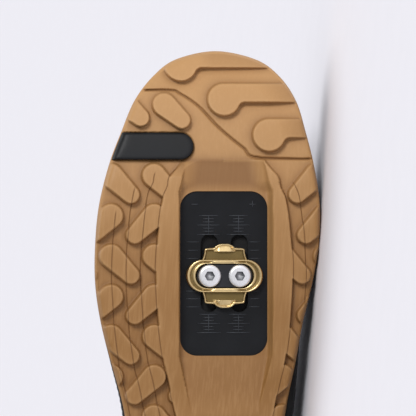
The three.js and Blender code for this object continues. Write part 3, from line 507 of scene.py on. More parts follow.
def clothMaterial(name, low, high, scale, depth, sheen):
    # a weave from low to high with grey fuzz on its threads
    n = Nodes(name)
    threads = weave(n, scale)
    fuzz = n.noise(n.objectPlace(), 900.0, 3.0)
    base = n.blend(n.span(threads, 0.15, 0.75), colour(*low), colour(*high))
    base = n.blend(n.span(fuzz, 0.5, 0.8, 0.0, 0.3), base, colour(62, 62, 66))
    height = n.maths("ADD", threads, n.maths("MULTIPLY", fuzz, 0.4))
    n.bump(height, depth, 0.8)
    return n.finish(colour=base, roughness=0.82, specular=0.3, sheen=sheen, sheenRoughness=0.4)


upperSkin = {
    "fabric": ((27, 27, 31), (66, 67, 74)),
    "film": ((25, 25, 27), (37, 37, 41)),
    "scuff": (84, 82, 80),
    # hole: painted shade of the inside seen through the vent holes
    "hole": (5, 5, 6),
    "holeGap": 4.6,  # millimetres between the vent holes
    "holeRadius": 1.0,
}


def upperMaterial():
    # Fabric between guard and eyestay, and smooth film on both. Vent holes lie on a diamond grid: they are
    # where the distance to the grid's nearest point is under the hole's radius. Masks come from the mesh.
    n = Nodes("upperSynthetic")
    where = n.objectPlace()
    film = n.maths("ADD", n.attribute("guard"), n.attribute("stay"), clamp=True)
    threads = weave(n, 380.0)
    gap = upperSkin["holeGap"]
    grid = n.uvPlace((100 / gap, 100 / gap, 1), (0, 0, np.pi / 4))
    inputs = {"Vector": grid, "Scale": 1.0, "Randomness": 0.0}
    toHole = n.add("ShaderNodeTexVoronoi", inputs).outputs["Distance"]
    edge = upperSkin["holeRadius"] / gap
    hole = n.maths("MULTIPLY", n.span(toHole, edge, edge + 0.06, 1.0, 0.0), n.attribute("vents"))
    pebble = n.add("ShaderNodeTexVoronoi", {"Vector": where, "Scale": 900.0}).outputs["Distance"]
    cloud = n.noise(where, 30.0, 4.0)
    scuff = n.noise(n.objectPlace((200, 40, 90)), 2.0, 6.0, 0.7)
    tone = {key: [colour(*shade) for shade in upperSkin[key]] for key in ("fabric", "film")}
    cloth = n.blend(n.span(threads, 0.1, 0.8), *tone["fabric"])
    base = n.blend(film, cloth, n.blend(n.span(cloud, 0.3, 0.7), *tone["film"]))
    base = n.blend(n.span(scuff, 0.62, 0.8, 0.0, 0.12), base, colour(*upperSkin["scuff"]))
    # the holes are painted near black: painted shade of the inside seen through them
    base = n.blend(hole, base, colour(*upperSkin["hole"]))
    fabricHeight = n.maths("SUBTRACT", n.maths("MULTIPLY", threads, 0.6), n.maths("MULTIPLY", hole, 1.5))
    n.bump(n.blend(film, fabricHeight, n.maths("MULTIPLY", pebble, 0.35)), 0.00024, 0.9)
    rough = n.span(film, 0.0, 1.0, 0.78, 0.42, smooth=False)
    return n.finish(colour=base, roughness=rough, specular=0.5, sheen=0.1, sheenRoughness=0.4)


cleatBrass = brassMaterial()
boltSteel = steelMaterial()
upperSynthetic = upperMaterial()
liningMesh = clothMaterial("liningMesh", (22, 22, 25), (54, 55, 61), 520.0, 0.0003, 0.2)
tongueMesh = clothMaterial("tongueMesh", (24, 24, 28), (70, 71, 78), 460.0, 0.0004, 0.2)
insoleCloth = clothMaterial("insoleCloth", (30, 30, 34), (62, 63, 69), 700.0, 0.0002, 0.15)
laceWeave = clothMaterial("laceWeave", (30, 30, 34), (104, 104, 113), 560.0, 0.0004, 0.25)
stitchThread = clothMaterial("stitchThread", (80, 80, 86), (124, 124, 132), 3000.0, 0.00008, 0.1)
print("detailed materials made")


# Meshes
def gridFaces(rows, columns, start=0, closedRows=False, closedColumns=False, keep=None):
    # four-sided faces over a grid of vertices whose numbers run along the columns first
    r = np.arange(rows if closedRows else rows - 1)
    c = np.arange(columns if closedColumns else columns - 1)
    rr, cc = np.meshgrid(r, c, indexing="ij")
    if keep is not None:
        rr, cc = rr[keep], cc[keep]
    nextRow, nextColumn = (rr + 1) % rows, (cc + 1) % columns
    corners = [rr * columns + cc, rr * columns + nextColumn, nextRow * columns + nextColumn,
               nextRow * columns + cc]
    return start + np.stack([k.ravel() for k in corners], axis=-1)


def weld(mesh, distance=1e-6):
    # joins coinciding vertices, which closes seams and poles, and turns all faces outwards
    work = bmesh.new()
    work.from_mesh(mesh)
    bmesh.ops.remove_doubles(work, verts=work.verts, dist=distance)
    bmesh.ops.dissolve_degenerate(work, edges=work.edges, dist=distance)
    bmesh.ops.recalc_face_normals(work, faces=work.faces)
    work.to_mesh(mesh)
    work.free()


def makeMesh(name, points, faces, material, replaces=(), uv=None, attributes=(), sharp=None,
             second=None, uvRound=None):
    # points are upright millimetres, and those that no face uses are dropped. uvRound is the length of a
    # uv that closes on itself: at its seam, a corner that lies far behind its face's others gains a round.
    if isinstance(faces, np.ndarray):
        faces = [faces]
    used = np.zeros(len(points), bool)
    for group in faces:
        for part in [group] if isinstance(group, np.ndarray) else group:
            used[np.ravel(part)] = True
    number = np.cumsum(used) - 1
    lists = []
    for group in faces:
        if isinstance(group, np.ndarray):
            lists.extend(number[group].tolist())
        else:
            lists.extend(number[np.array(face)].tolist() for face in group)
    where = place(points)[used]
    mesh = bpy.data.meshes.new(name)
    mesh.from_pydata(where.tolist(), [], lists)
    mesh.polygons.foreach_set("use_smooth", [True] * len(mesh.polygons))
    if sharp is not None:
        edges = np.zeros(2 * len(mesh.edges), int)
        mesh.edges.foreach_get("vertices", edges)
        edges = edges.reshape(-1, 2)
        flags = np.zeros(len(edges), bool)
        for group in sharp:
            inside = np.zeros(used.sum(), bool)
            group = np.asarray(group)
            inside[number[group[used[group]]]] = True
            flags |= inside[edges[:, 0]] & inside[edges[:, 1]]
        mark = mesh.attributes.new("sharp_edge", "BOOLEAN", "EDGE")
        mark.data.foreach_set("value", flags)
    for key, values in dict(attributes).items():
        layer = mesh.attributes.new(key, "FLOAT", "POINT")
        layer.data.foreach_set("value", np.asarray(values, np.float32)[used])
    if uv is not None:
        loops = np.zeros(len(mesh.loops), int)
        mesh.loops.foreach_get("vertex_index", loops)
        layer = mesh.uv_layers.new(name="UVMap")
        corners = np.asarray(uv, np.float32)[used][loops]
        if uvRound is not None:
            quads = corners[:, 0].reshape(-1, 4)
            quads[quads < quads.max(axis=1, keepdims=True) - uvRound / 2] += uvRound
            corners[:, 0] = quads.ravel()
        layer.data.foreach_set("uv", corners.ravel())
    piece = bpy.data.objects.new(name, mesh)
    bpy.context.scene.collection.objects.link(piece)
    mesh.materials.append(material)
    if second is not None:
        otherMaterial, test = second
        mesh.materials.append(otherMaterial)
        mesh.polygons.foreach_set("material_index", test(len(lists)).astype(np.int32))
    weld(mesh)
    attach(piece, "root")
    if replaces:
        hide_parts(*replaces)
    return piece


# Plans of the tread, seen from below, and distances to them, positive inside
def pathGap(x, y, path):
    # distance to an open line: to the nearest point of each stretch, and of those the least
    near = np.full(x.shape, 1e9)
    for (ax, ay), (bx, by) in zip(path[:-1], path[1:]):
        dx, dy = bx - ax, by - ay
        t = np.clip(((x - ax) * dx + (y - ay) * dy) / (dx * dx + dy * dy + 1e-12), 0, 1)
        near = np.minimum(near, (x - ax - t * dx) ** 2 + (y - ay - t * dy) ** 2)
    return np.sqrt(near)


def polygonGap(x, y, corners):
    # distance to a closed outline, inside where a line across from the point meets it an odd number of times
    inside = np.zeros(x.shape, bool)
    closed = np.concatenate([corners, corners[:1]])
    for (ax, ay), (bx, by) in zip(closed[:-1], closed[1:]):
        if ay != by:
            inside ^= ((ay > y) != (by > y)) & (x < ax + (y - ay) * (bx - ax) / (by - ay))
    return np.where(inside, 1, -1) * pathGap(x, y, closed)


def beltGap(x, y, head, headRadius, tail, tailRadius):
    # outline round two circles: outside the straight stretch the nearer circle counts, beside it the belt
    along = np.subtract(tail, head)
    reach = np.hypot(*along)
    along = along / reach
    u = np.abs((y - head[1]) * along[0] - (x - head[0]) * along[1])
    v = (x - head[0]) * along[0] + (y - head[1]) * along[1]
    slope = (headRadius - tailRadius) / reach
    rise = np.sqrt(1 - slope * slope)
    k = -slope * u + rise * v
    belt = rise * u + slope * v - headRadius
    gap = np.where(k < 0, np.hypot(u, v) - headRadius, belt)
    return -np.where(k > rise * reach, np.hypot(u, v - reach) - tailRadius, gap)


def arc(cx, cy, radius, start, end, count):
    # part of a circle between two angles
    turn = np.linspace(start, end, count + 1)
    return stack(cx + radius * np.cos(turn), cy + radius * np.sin(turn))


tread = {
    "lugPitch": 18.72,
    "lugSpread": 19.95,
    "lugHead": 5.8,
    "lugTail": 4.4,
    "lugLean": (-8.95, 9.07),
    "firstLug": (0.8034, -0.4305),
    "swallowed": {(1, 4), (3, 4)},  # row and column of lugs that the island covers
    "lugMargin": 3.8,  # a lug counts if its head or tail lies less than this far off the sole
    "keyHead": 7.9,
    "keyFillet": 3.0,
    "keyBandDrop": 1.5,
    "wallFoot": -0.30,  # a lug's wall starts this far outside its outline
    "wallTop": 0.62,
    "groove": (0.68, 0.34),  # the groove's half width at its top and at its floor
    "grooveDepth": 1.7,
    "edgeBand": 1.6,  # the side of the sole starts this far in from its outline
    "sideStart": 2.2,
    "webRound": 0.45,  # how far the outer edge's rounding reaches in, on the web and on the lugs
    "lugRound": 0.85,
    "keyFade": 0.45,  # the key lugs lose this share of their height towards the medial edge
    "ramp": 14.7,
    "rearRamp": 32.0,
    "rampNarrow": 2.6,  # how much narrower half the trough is at the end of its ramps
    "rearNarrow": 6.0,
    "ceilingLip": 1.5,
    "frontLip": 0.45,
    "lateralWall": 1.2,  # how wide the trough's walls are in plan
    "medialWall": 3.7,
    "filletWide": 8.0,  # between the ramp and its walls
    "filletHigh": 2.6,
    "facetStart": 234.0,  # the lateral arm's end slopes down from here
    "facetEnd": 241.5,
    "wallDrop": 8.0,  # deeper than the trough, so that its walls reach the surface round it
    "pocketFree": 0.3,  # the lugs end this far from the badge's pocket
    "footShadeReach": 1.5,  # how far the painted shade at a lug's foot, and the wear and painted highlight at its edge, reach
    "edgeLightReach": 0.6,
}

toeLugs = [
    (0.9168, -0.1905, 0.8925, -0.1152),
    (0.9202, -0.3733, 0.8962, -0.2981),
    (0.8041, 0.4819, 0.7733, 0.3952),
]
keyLugs = [(0.9815, -0.115), (0.9253, 0.075), (0.8682, 0.273)]
island = table("at half", [
    (0.829, 0.181), (0.818, 0.205), (0.798, 0.248), (0.788, 0.252), (0.767, 0.276), (0.719, 0.295),
    (0.651, 0.307), (0.582, 0.298), (0.514, 0.276), (0.478, 0.252), (0.411, 0.210), (0.360, 0.114),
])
groove = table("at across", [
    (0.939, -0.400), (0.941, -0.172), (0.935, -0.119), (0.914, -0.035), (0.880, 0.053),
    (0.848, 0.159), (0.832, 0.232), (0.830, 0.600),
])
badge = {"at": 0.8505, "width": 12.7, "innerEnd": -0.063, "proud": 3.0, "seat": 1.5, "chamfer": 0.9}


def onSole(at, across):
    return np.array([at * length, across * ballWidth])


soleOutline = soleEdge(np.arange(0, stations, 0.1))


def eggLugs():
    # head and tail of every egg-shaped lug: rows along the shoe, and odd rows lean the other way
    found = [(onSole(a, b), onSole(c, d)) for a, b, c, d in toeLugs]
    start = onSole(*tread["firstLug"])
    for row in range(int(np.ceil(start[0] / tread["lugPitch"]))):
        side = 1 if row % 2 == 0 else -1
        for n in range(-1, int(np.ceil(ballWidth / tread["lugSpread"])) + 1):
            head = start + (-row * tread["lugPitch"], n * tread["lugSpread"])
            tail = head + (tread["lugLean"][0], side * tread["lugLean"][1])
            if (row > 0 or n in (0, 1)) and (row, n) not in tread["swallowed"]:
                found.append((head, tail))
    probe = np.array(found)
    gap = polygonGap(probe[..., 0], probe[..., 1], soleOutline).max(axis=1)
    return [lug for lug, g in zip(found, gap) if g > -tread["lugMargin"]]


def keyLugPlan(at, across, isFirst):
    # a key's outline: a round head, a fillet and a band that runs to the medial edge
    cx, cy = onSole(at, across)
    head, fillet = tread["keyHead"], tread["keyFillet"]
    bandEdge = cx - tread["keyBandDrop"]
    filletX = bandEdge - fillet
    filletY = cy + np.sqrt((head + fillet) ** 2 - (cx - filletX) ** 2)
    turn = np.arctan2(filletY - cy, filletX - cx)
    top = length + head if isFirst else cx + head
    headEnd = 1.5 * np.pi if isFirst else 2 * np.pi
    parts = [
        [(top, ballWidth), (bandEdge, ballWidth)],
        arc(filletX, filletY, fillet, 0, turn - np.pi, 10),
        arc(cx, cy, head, turn, headEnd, 36),
    ]
    if isFirst:
        parts.append([(top, cy - head)])
    return np.concatenate(parts)


def roundIsland():
    # the island's outline with its corners rounded, as smooth curves through the table
    rows = table("at half", list(zip(island["at"][::-1], island["half"][::-1])))
    half = profile(rows["at"], rows["half"] * ballWidth)
    front, back = island["at"][[0, -1]] * length
    x = np.linspace(front, back, 160)
    medial, lateral = (stack(x, windowY + side * half(x)) for side in (1, -1))
    tail = arc(back, windowY, half(back), np.pi / 2, 1.5 * np.pi, 24)
    return np.concatenate([medial, tail[1:-1], lateral[::-1]])


def badgePlan(margin):
    # a slot with one round end inwards, open over the lateral edge
    x = badge["at"] * length
    radius = badge["width"] / 2 + margin
    end = badge["innerEnd"] * ballWidth - badge["width"] / 2
    return np.concatenate([[(x - radius, -ballWidth)], arc(x, end, radius, np.pi, 0, 24),
                           [(x + radius, -ballWidth)]])


islandEdge = roundIsland()


def throughRows(rows, count):
    # Catmull-Rom interpolation of whole rows, so that points or sections can be added between the chosen ones
    rows = np.asarray(rows, float)
    p = np.concatenate([[2 * rows[0] - rows[1]], rows, [2 * rows[-1] - rows[-2]]])
    t = np.linspace(0, len(rows) - 1 - 1e-9, count)
    i = t.astype(int)
    f = (t - i).reshape([-1] + [1] * (rows.ndim - 1))
    return catmullRom(p[i], p[i + 1], p[i + 2], p[i + 3], f)


grooveCurve = throughRows(stack(groove["at"] * length, groove["across"] * ballWidth), 60)


def troughLevel(x):
    # how high the trough's ceiling lies: down a ramp behind the toe, level along the window, up in the arch
    front, back = windowFront + tread["ramp"], windowBack - tread["rearRamp"]
    ceiling = seatLevel - tread["ceilingLip"]
    stops = [back, windowBack, windowFront - 8, windowFront, front - 3, front]
    levels = [treadHeight(np.array(back)) - 0.5, ceiling, ceiling, seatLevel - tread["frontLip"],
              floorHeight(np.array(front)) - 0.1, floorHeight(np.array(front))]
    return np.interp(x, stops, levels)


def troughHalf(x):
    # half the trough's width: the window's, and less over both ramps
    half = windowSize["wide"] / 2
    stops = [windowBack - tread["rearRamp"], windowBack, windowFront, windowFront + tread["ramp"]]
    return np.interp(x, stops, [half - tread["rearNarrow"], half, half, half - tread["rampNarrow"]])


def toeward(x):
    # share of the toe's lighter tone: painted light, falling off from the toe towards the arch
    return smooth(140, 320, x)


def treadSurface(x, y, edge):
    # Height of the gum's outer surface, where edge is the distance in from the sole's outline: the web, lugs,
    # keys and island that stand up from it, the trough sunk in it, then the groove and the badge's pocket.
    # The fields are masks for the material, among them painted shade, wear with painted highlight, and
    # painted light towards the toe.
    webLevel = floorHeight(x)
    web = webLevel + tread["sideStart"] * np.exp(-edge / tread["webRound"])
    rounding = treadHeight(x) + (shoe["lugHeight"] + tread["sideStart"]) * np.exp(-edge / tread["lugRound"])
    pocket = polygonGap(x, y, badgePlan(clearance))
    foot, top = tread["wallFoot"], tread["wallTop"]
    near = np.full(x.shape, -99.0)
    for head, tail in eggLugs():
        near = np.maximum(near, beltGap(x, y, head, tread["lugHead"], tail, tread["lugTail"]))
    near = np.minimum(near, -pocket - tread["pocketFree"])
    high = smooth(foot, top, near)
    for i, (at, across) in enumerate(keyLugs):
        gap = polygonGap(x, y, keyLugPlan(at, across, i == 0))
        near = np.maximum(near, gap)
        fade = tread["keyFade"] * smooth(13, 1, edge) * smooth(-4, 4, y)
        high = np.maximum(high, smooth(foot, top, gap) * (1 - fade))
    rail = polygonGap(x, y, islandEdge)
    arm = 1 - np.clip((x - tread["facetStart"]) / (tread["facetEnd"] - tread["facetStart"]), 0, 1)
    arm = np.where(y < windowY, arm, 1.0)
    high = np.maximum(high, smooth(foot, top, rail) * arm)
    near = np.maximum(near, rail)
    z = mix(web, np.minimum(rounding, web), high)
    front = windowFront + tread["ramp"]
    beside = np.abs(y - windowY) - troughHalf(x)
    wide = np.where(y < windowY, tread["lateralWall"], tread["medialWall"])
    rampShare = smooth(windowFront - 1, windowFront + 5, x)
    fillet = np.clip(1 + beside / tread["filletWide"], 0, 1) ** 2 * tread["filletHigh"] * rampShare
    level = troughLevel(x) - fillet
    behindFront = smooth(front + 0.3, front - 0.3, x)
    wall = level - tread["wallDrop"] * smooth(-0.25, wide, beside)
    z = np.where(behindFront > 0, np.maximum(z, mix(z, wall, behindFront)), z)
    # painted shade: darker down the front ramp, and less so along the rest of the trough
    troughShade = smooth(0.4, -tread["filletWide"] * rampShare - 0.4, beside) * smooth(front, front - 1.2, x)
    troughShade *= mix(0.25, 1.0, rampShare) * smooth(windowBack - 30, windowBack - 5, x)
    cut = smooth(*tread["groove"], pathGap(x, y, grooveCurve)) * (1 - smooth(-0.5, 0.5, pocket))
    z = mix(z, np.maximum(z, webLevel + tread["grooveDepth"]), cut)
    z = mix(z, np.maximum(z, webLevel + badge["seat"]), smooth(-0.15, 0.35, pocket))
    inTrough = smooth(1, -1, beside) * smooth(front, front - 2, x)
    # painted shade on the floor at the lugs' feet, and below also in the groove
    lugFootShade = np.exp(np.minimum(near, 0) / tread["footShadeReach"]) * (1 - high) * (1 - inTrough)
    # lighter lug edges: partly wear, partly painted highlight
    wornAndHighlit = high * np.exp(-np.maximum(near, 0) / tread["edgeLightReach"]) * smooth(0.2, 1.0, near)
    fields = {
        "islandGap": -rail,
        "troughShade": troughShade,
        "footAndGrooveShade": np.maximum(lugFootShade, cut),
        "wornAndHighlit": wornAndHighlit * (1 - inTrough),
        "toeward": toeward(x),
    }
    return z, fields


flex = {
    "front": (238.0, 233.0),  # where the lines start on the lateral and on the medial side
    "sweep": 0.05,
    "rear": (98.0, 104.0),
    "medialReach": (10.5, 9.5),  # the medial side has only the line that is nearer than this
    "medialStretch": 1.12,
}


def flexZone(x, y, gap):
    # Each line starts further heelwards by the square of its distance, and all end before the heel.
    isMedial = y > windowY
    front = np.where(isMedial, flex["front"][1], flex["front"][0]) - flex["sweep"] * gap**2
    lines = np.where(isMedial, smooth(*flex["medialReach"], gap), 1)
    return smooth(1.0, -1.0, x - front) * smooth(*flex["rear"], x) * smooth(-0.6, -0.3, gap) * lines


# The outsole, as a grid over its plan. Its rows run straight across the shoe and bend into the arc of the
# toe or heel at the end; the columns keep to the window's sides.
soleGrid = {
    "cut": 112.0,  # front and rear piece meet here, in the arch
    "rowStep": 0.45,
    "rearStep": 0.62,
    "columns": (80, 82, 50),  # lateral of the window, across it, medial of it
    "shares": (0.36, 0.76),  # where the window's columns lie beyond the window
    "frontBend": 240.0,  # rows start to bend here
    "rearBend": 48.0,
    "toeCorners": (20.0, 16.0),  # stations of the ring where sides end and the toe's arc starts
    "heelCorners": (34.5, 1.5),
    "lateralSide": (18.6, 35.4),  # first and last station of each side
    "medialSide": (0.6, 17.4),
}


def stationAt(x, side):
    # the station at which a side passes x
    c = np.linspace(*soleGrid[side], 1200)
    edgeX = insetEdge(c, tread["edgeBand"])[:, 0]
    order = np.argsort(edgeX)
    return np.interp(x, edgeX[order], c[order])


def evenStations(start, end, count):
    # stations spaced evenly along the sole's edge
    c = np.linspace(start, end, 400)
    p = insetEdge(c, tread["edgeBand"])
    far = runLength(p)
    return np.interp(np.linspace(0, far[-1], count), far, c)


def columnPlaces(x, low, high):
    # across positions of one row: the window's columns stay on its sides while the row passes it
    a, w, b = soleGrid["columns"]
    blend = np.maximum(smooth(windowFront + 2, soleGrid["frontBend"], x),
                       smooth(windowBack - 2, soleGrid["cut"] + 6, x))
    width = high - low
    sideA = mix(windowY - windowSize["wide"] / 2, low + soleGrid["shares"][0] * width, blend)
    sideB = mix(windowY + windowSize["wide"] / 2, low + soleGrid["shares"][1] * width, blend)
    t = [np.linspace(0, 1, n + 1) for n in (a, w, b)]
    return np.concatenate([mix(low, sideA, t[0]), mix(sideA, sideB, t[1][1:]), mix(sideB, high, t[2][1:])])


def solePlan(toFront):
    # Plan points of the grid, the stations of its two sides, and the stations along its end arc. The bent
    # part is a patch between the last straight row, the arc and the two sides.
    step = soleGrid["rowStep"] if toFront else soleGrid["rearStep"]
    if toFront:
        stops = [soleGrid["cut"], windowBack, windowFront, soleGrid["frontBend"]]
    else:
        stops = [soleGrid["cut"], soleGrid["rearBend"]]
    runs = [np.linspace(p, q, int(np.ceil(abs(q - p) / step)) + 1) for p, q in zip(stops[:-1], stops[1:])]
    xs = np.concatenate([runs[0]] + [run[1:] for run in runs[1:]])
    holeRows = (len(runs[0]) - 1, len(runs[0]) + len(runs[1]) - 2) if toFront else None
    lateral, medial = stationAt(xs, "lateralSide"), stationAt(xs, "medialSide")
    low = insetEdge(lateral, tread["edgeBand"])[:, 1]
    high = insetEdge(medial, tread["edgeBand"])[:, 1]
    straight = np.array([stack(x, columnPlaces(x, p, q)) for x, p, q in zip(xs, low, high)])
    endL, endM = soleGrid["toeCorners"] if toFront else soleGrid["heelCorners"]
    bend = int(np.ceil(abs((length if toFront else 0) - xs[-1]) / step)) + 1
    sideL, sideM = evenStations(lateral[-1], endL, bend), evenStations(medial[-1], endM, bend)
    v = (straight[-1, :, 1] - low[-1]) / (high[-1] - low[-1])
    onArc = evenStations(endL, endM if toFront else endM + stations, 400)
    arcC = np.interp(v, np.linspace(0, 1, 400), onArc)
    t = np.linspace(0, 1, bend)[:, None, None]
    v = v[None, :, None]
    first, last = straight[-1][None], insetEdge(arcC, tread["edgeBand"])[None]
    left, right = (insetEdge(c, tread["edgeBand"])[:, None] for c in (sideL, sideM))
    bent = ((1 - t) * first + t * last + (1 - v) * left + v * right
            - ((1 - t) * (1 - v) * first[:, :1] + (1 - t) * v * first[:, -1:]
               + t * (1 - v) * last[:, :1] + t * v * last[:, -1:]))
    plan = np.concatenate([straight, bent[1:]])
    sides = np.concatenate([lateral, sideL[1:]]), np.concatenate([medial, sideM[1:]])
    return plan, sides, arcC, holeRows


def roundHole(plan):
    # in each corner of the window the square rings of the grid turn into round ones
    corner = windowSize["corner"]
    halfX, halfY = windowSize["long"] / 2 - corner, windowSize["wide"] / 2 - corner
    dx, dy = plan[..., 0] - windowX, plan[..., 1] - windowY
    p, q = np.abs(dx) - halfX, np.abs(dy) - halfY
    s = np.maximum(p, q)
    k = s / np.maximum(np.hypot(p, q), 1e-9)
    k = mix(k, 1.0, smooth(0, 9, s - corner))
    inCorner = (p > 0) & (q > 0)
    x = windowX + np.sign(dx) * np.where(inCorner, halfX + p * k, np.abs(dx))
    y = windowY + np.sign(dy) * np.where(inCorner, halfY + q * k, np.abs(dy))
    return stack(x, y)


def makeTread(name, toFront):
    # the grid as the outer face, rings down the side and under it, and a back that is flat across the shoe
    plan, (sideL, sideM), arcC, holeRows = solePlan(toFront)
    if holeRows:
        plan = roundHole(plan)
    rows, columns = plan.shape[:2]
    x, y = plan[..., 0], plan[..., 1]
    edge = polygonGap(x, y, soleOutline)
    z, fields = treadSurface(x, y, edge)
    top = stack(x, y, z).reshape(-1, 3)
    fields["flexZone"] = flexZone(x, y, fields["islandGap"])
    fields["islandGap"] = np.where(y < windowY, 1.0, flex["medialStretch"]) * fields["islandGap"]
    # round the edge: the side's stations, and the grid's vertices that they start from
    number = np.arange(rows * columns).reshape(rows, columns)
    loopC = np.concatenate([sideL, arcC[1:-1], sideM[::-1]])
    loopStart = np.concatenate([number[:, 0], number[-1, 1:-1], number[::-1, -1]])
    insets = [1.15, 0.75, 0.42, 0.16, 0.0, 0.0, 0.25]
    layers = []
    for i, inset in enumerate(insets):
        p = insetEdge(loopC, inset)
        full, seat = floorHeight(p[:, 0]) + tread["sideStart"], seatHeight(p[:, 0])
        if i <= 4:
            h, _ = treadSurface(p[:, 0], p[:, 1], np.full(len(p), inset))
            h = mix(h, full, smooth(0.4, 0, inset))
        else:
            h = mix(full, seat, 0.5) if i == 5 else seat - 0.05
        layers.append(raised(p, h))
    p = insetEdge(loopC, seatEdge(loopC))
    layers.append(raised(p, seatHeight(p[:, 0])))
    for layer in layers:  # the cut end lies in one plane
        layer[0, 0] = layer[-1, 0] = soleGrid["cut"]
    side = np.concatenate(layers)
    count = len(loopC)
    base = rows * columns
    sideNumber = base + np.arange(len(layers) * count).reshape(len(layers), count)
    points = [top, side]
    keep = np.ones((rows - 1, columns - 1), bool)
    a, w, _ = soleGrid["columns"]
    if holeRows:
        keep[holeRows[0]:holeRows[1], a:a + w] = False
    faces = [gridFaces(rows, columns, keep=keep)]
    chain = np.concatenate([loopStart[None], sideNumber])
    lower, upper = chain[:-1], chain[1:]
    faces.append(np.stack([lower[:, :-1], upper[:, :-1], upper[:, 1:], lower[:, 1:]], axis=-1).reshape(-1, 4))
    backL = sideNumber[-1, :rows]
    backM = sideNumber[-1, ::-1][:rows]
    sharp = [sideNumber[-1]]
    polygons = []
    strip = np.stack([backL[:-1], backM[:-1], backM[1:], backL[1:]], axis=-1)
    if holeRows:
        r0, r1 = holeRows
        rim = np.concatenate([number[r0, a:a + w], number[r0:r1, a + w], number[r1, a + w:a:-1],
                              number[r1:r0:-1, a]])
        foot = base + len(side) + np.arange(len(rim))
        hole = top[rim].copy()
        hole[:, 2] = seatLevel
        points.append(hole)
        faces.append(np.stack([rim, foot, np.roll(foot, -1), np.roll(rim, -1)], axis=-1))
        sharp += [foot, rim]
        footL = np.concatenate([[foot[0]], foot[:2 * w + r1 - r0 - 1:-1]])
        footM = foot[w:w + r1 - r0 + 1]
        k = np.arange(r0, r1)
        faces.append(np.stack([backL[k], footL[k - r0], footL[k - r0 + 1], backL[k + 1]], axis=-1))
        faces.append(np.stack([footM[k - r0], backM[k], backM[k + 1], footM[k - r0 + 1]], axis=-1))
        polygons.append([backL[r0 - 1], backM[r0 - 1], backM[r0], *foot[w::-1], backL[r0]])
        polygons.append([backL[r1], *foot[2 * w + r1 - r0:w + r1 - r0 - 1:-1], backM[r1], backM[r1 + 1],
                         backL[r1 + 1]])
        strip = np.delete(strip, np.arange(r0 - 1, r1 + 1), axis=0)
    faces.append(strip)
    polygons.append([backL[-1], *sideNumber[-1, rows - 1:count - rows + 1][::-1]][::-1][:-1])
    capSide = [*sideNumber[::-1, 0], *number[0], *sideNumber[:, -1]]
    polygons.append([int(k) for k in capSide])
    sharp.append(np.array(capSide))
    faces.append([[int(k) for k in f] for f in polygons])
    points = np.concatenate(points)
    values = {}
    for key, field in fields.items():
        rest = toeward(points[base:, 0]) if key == "toeward" else np.zeros(len(points) - base)
        values[key] = np.concatenate([field.ravel(), rest])
    piece = makeMesh(name, points, faces, gumRubber, ["outsole"], sharp=sharp,
                     attributes=values)
    print(name, "made,", len(piece.data.polygons), "faces")


makeTread("tread_front", True)
makeTread("tread_rear", False)


# Slabs with the sole's plan: each layer has its inset, how far it has closed in on the spine, and its height
def makeLayers(layers, count):
    c = np.linspace(0, stations, count, endpoint=False)
    out = []
    for inset, closed, height in layers:
        own = inset(c) if callable(inset) else np.full(count, float(inset))
        p = mix(insetEdge(c, own), spine(c), closed)
        out.append(raised(p, height(p[:, 0], c)))
    return np.array(out)


def closeRings(rings):
    # faces over closed rings of equal count whose first and last rings have each shrunk onto the spine
    rows, columns = rings.shape[:2]
    return rings.reshape(-1, 3), gridFaces(rows, columns, closedColumns=True)


midsole = {"count": 720, "rows": 16, "groove": 0.35, "grooveAt": 0.62, "grooveWide": 0.05, "step": 2.9}


def makeMidsole():
    # the side bulges a little between seat and bed and has one shallow line round it
    def low(x):
        return seatHeight(x) + clearance

    def at(share):
        return lambda x, c: mix(low(x), bedHeight(x), share)

    layers = [
        (0, 1.0, lambda x, c: low(x) + midsole["step"]),
        (lambda c: seatEdge(c) + 4.5, 0.0, lambda x, c: low(x) + midsole["step"]),
        (lambda c: seatEdge(c) + 3.5, 0.0, at(0.0)),
        (seatEdge, 0.0, at(0.0)),
    ]
    for share in np.linspace(0, 1, midsole["rows"]):
        inset = np.interp(share, [0, 0.08, 0.3, 0.92, 1.0], [0.8, 0.3, 0.0, 0.12, 0.45])
        inset += midsole["groove"] * np.exp(-(((share - midsole["grooveAt"]) / midsole["grooveWide"]) ** 2))
        layers.append((lambda c, inset=inset: tuckAt(c) + inset, 0.0, at(share)))
    layers += [(insoleEdge, 0.0, at(1.0)), (0, 0.5, at(1.0)), (0, 1.0, at(1.0))]
    points, faces = closeRings(makeLayers(layers, midsole["count"]))
    makeMesh("midsole_foam", points, faces, midsoleFoam, ["midsole"])


makeMidsole()
print("midsole made")


def makeInsole():
    # a thin slab whose top is cupped a little at its edge
    def low(x):
        return bedHeight(x) + clearance

    def top(x):
        return low(x) + shoe["insoleThickness"]

    layers = [
        (0, 1.0, lambda x, c: low(x)),
        (0, 0.5, lambda x, c: low(x)),
        (insoleEdge, 0.0, lambda x, c: low(x)),
        (lambda c: insoleEdge(c) + 0.1, 0.0, lambda x, c: top(x) - 1.2),
        (lambda c: insoleEdge(c) + 0.6, 0.0, lambda x, c: top(x)),
        (lambda c: insoleEdge(c) + 1.4, 0.0, lambda x, c: top(x) - 0.1),
        (lambda c: insoleEdge(c) + 5.0, 0.0, lambda x, c: top(x) - 0.8),
    ]
    layers += [(0, closed, lambda x, c: top(x) - 1.0) for closed in (0.35, 0.6, 0.8, 1.0)]
    points, faces = closeRings(makeLayers(layers, 360))
    makeMesh("insole_cover", points, faces, insoleCloth, ["insole"], uv=points[:, :2] * 0.01)


makeInsole()
print("insole made")


# The upper's skin: at station c a cubic curve from the sole at t = 0 to the rim at t = 1
def rimPoint(c):
    return stack(length * around("rimAt", c), 0.025 * ballWidth + ballWidth * around("rimSide", c),
                 upperHeight * around("rimHigh", c))


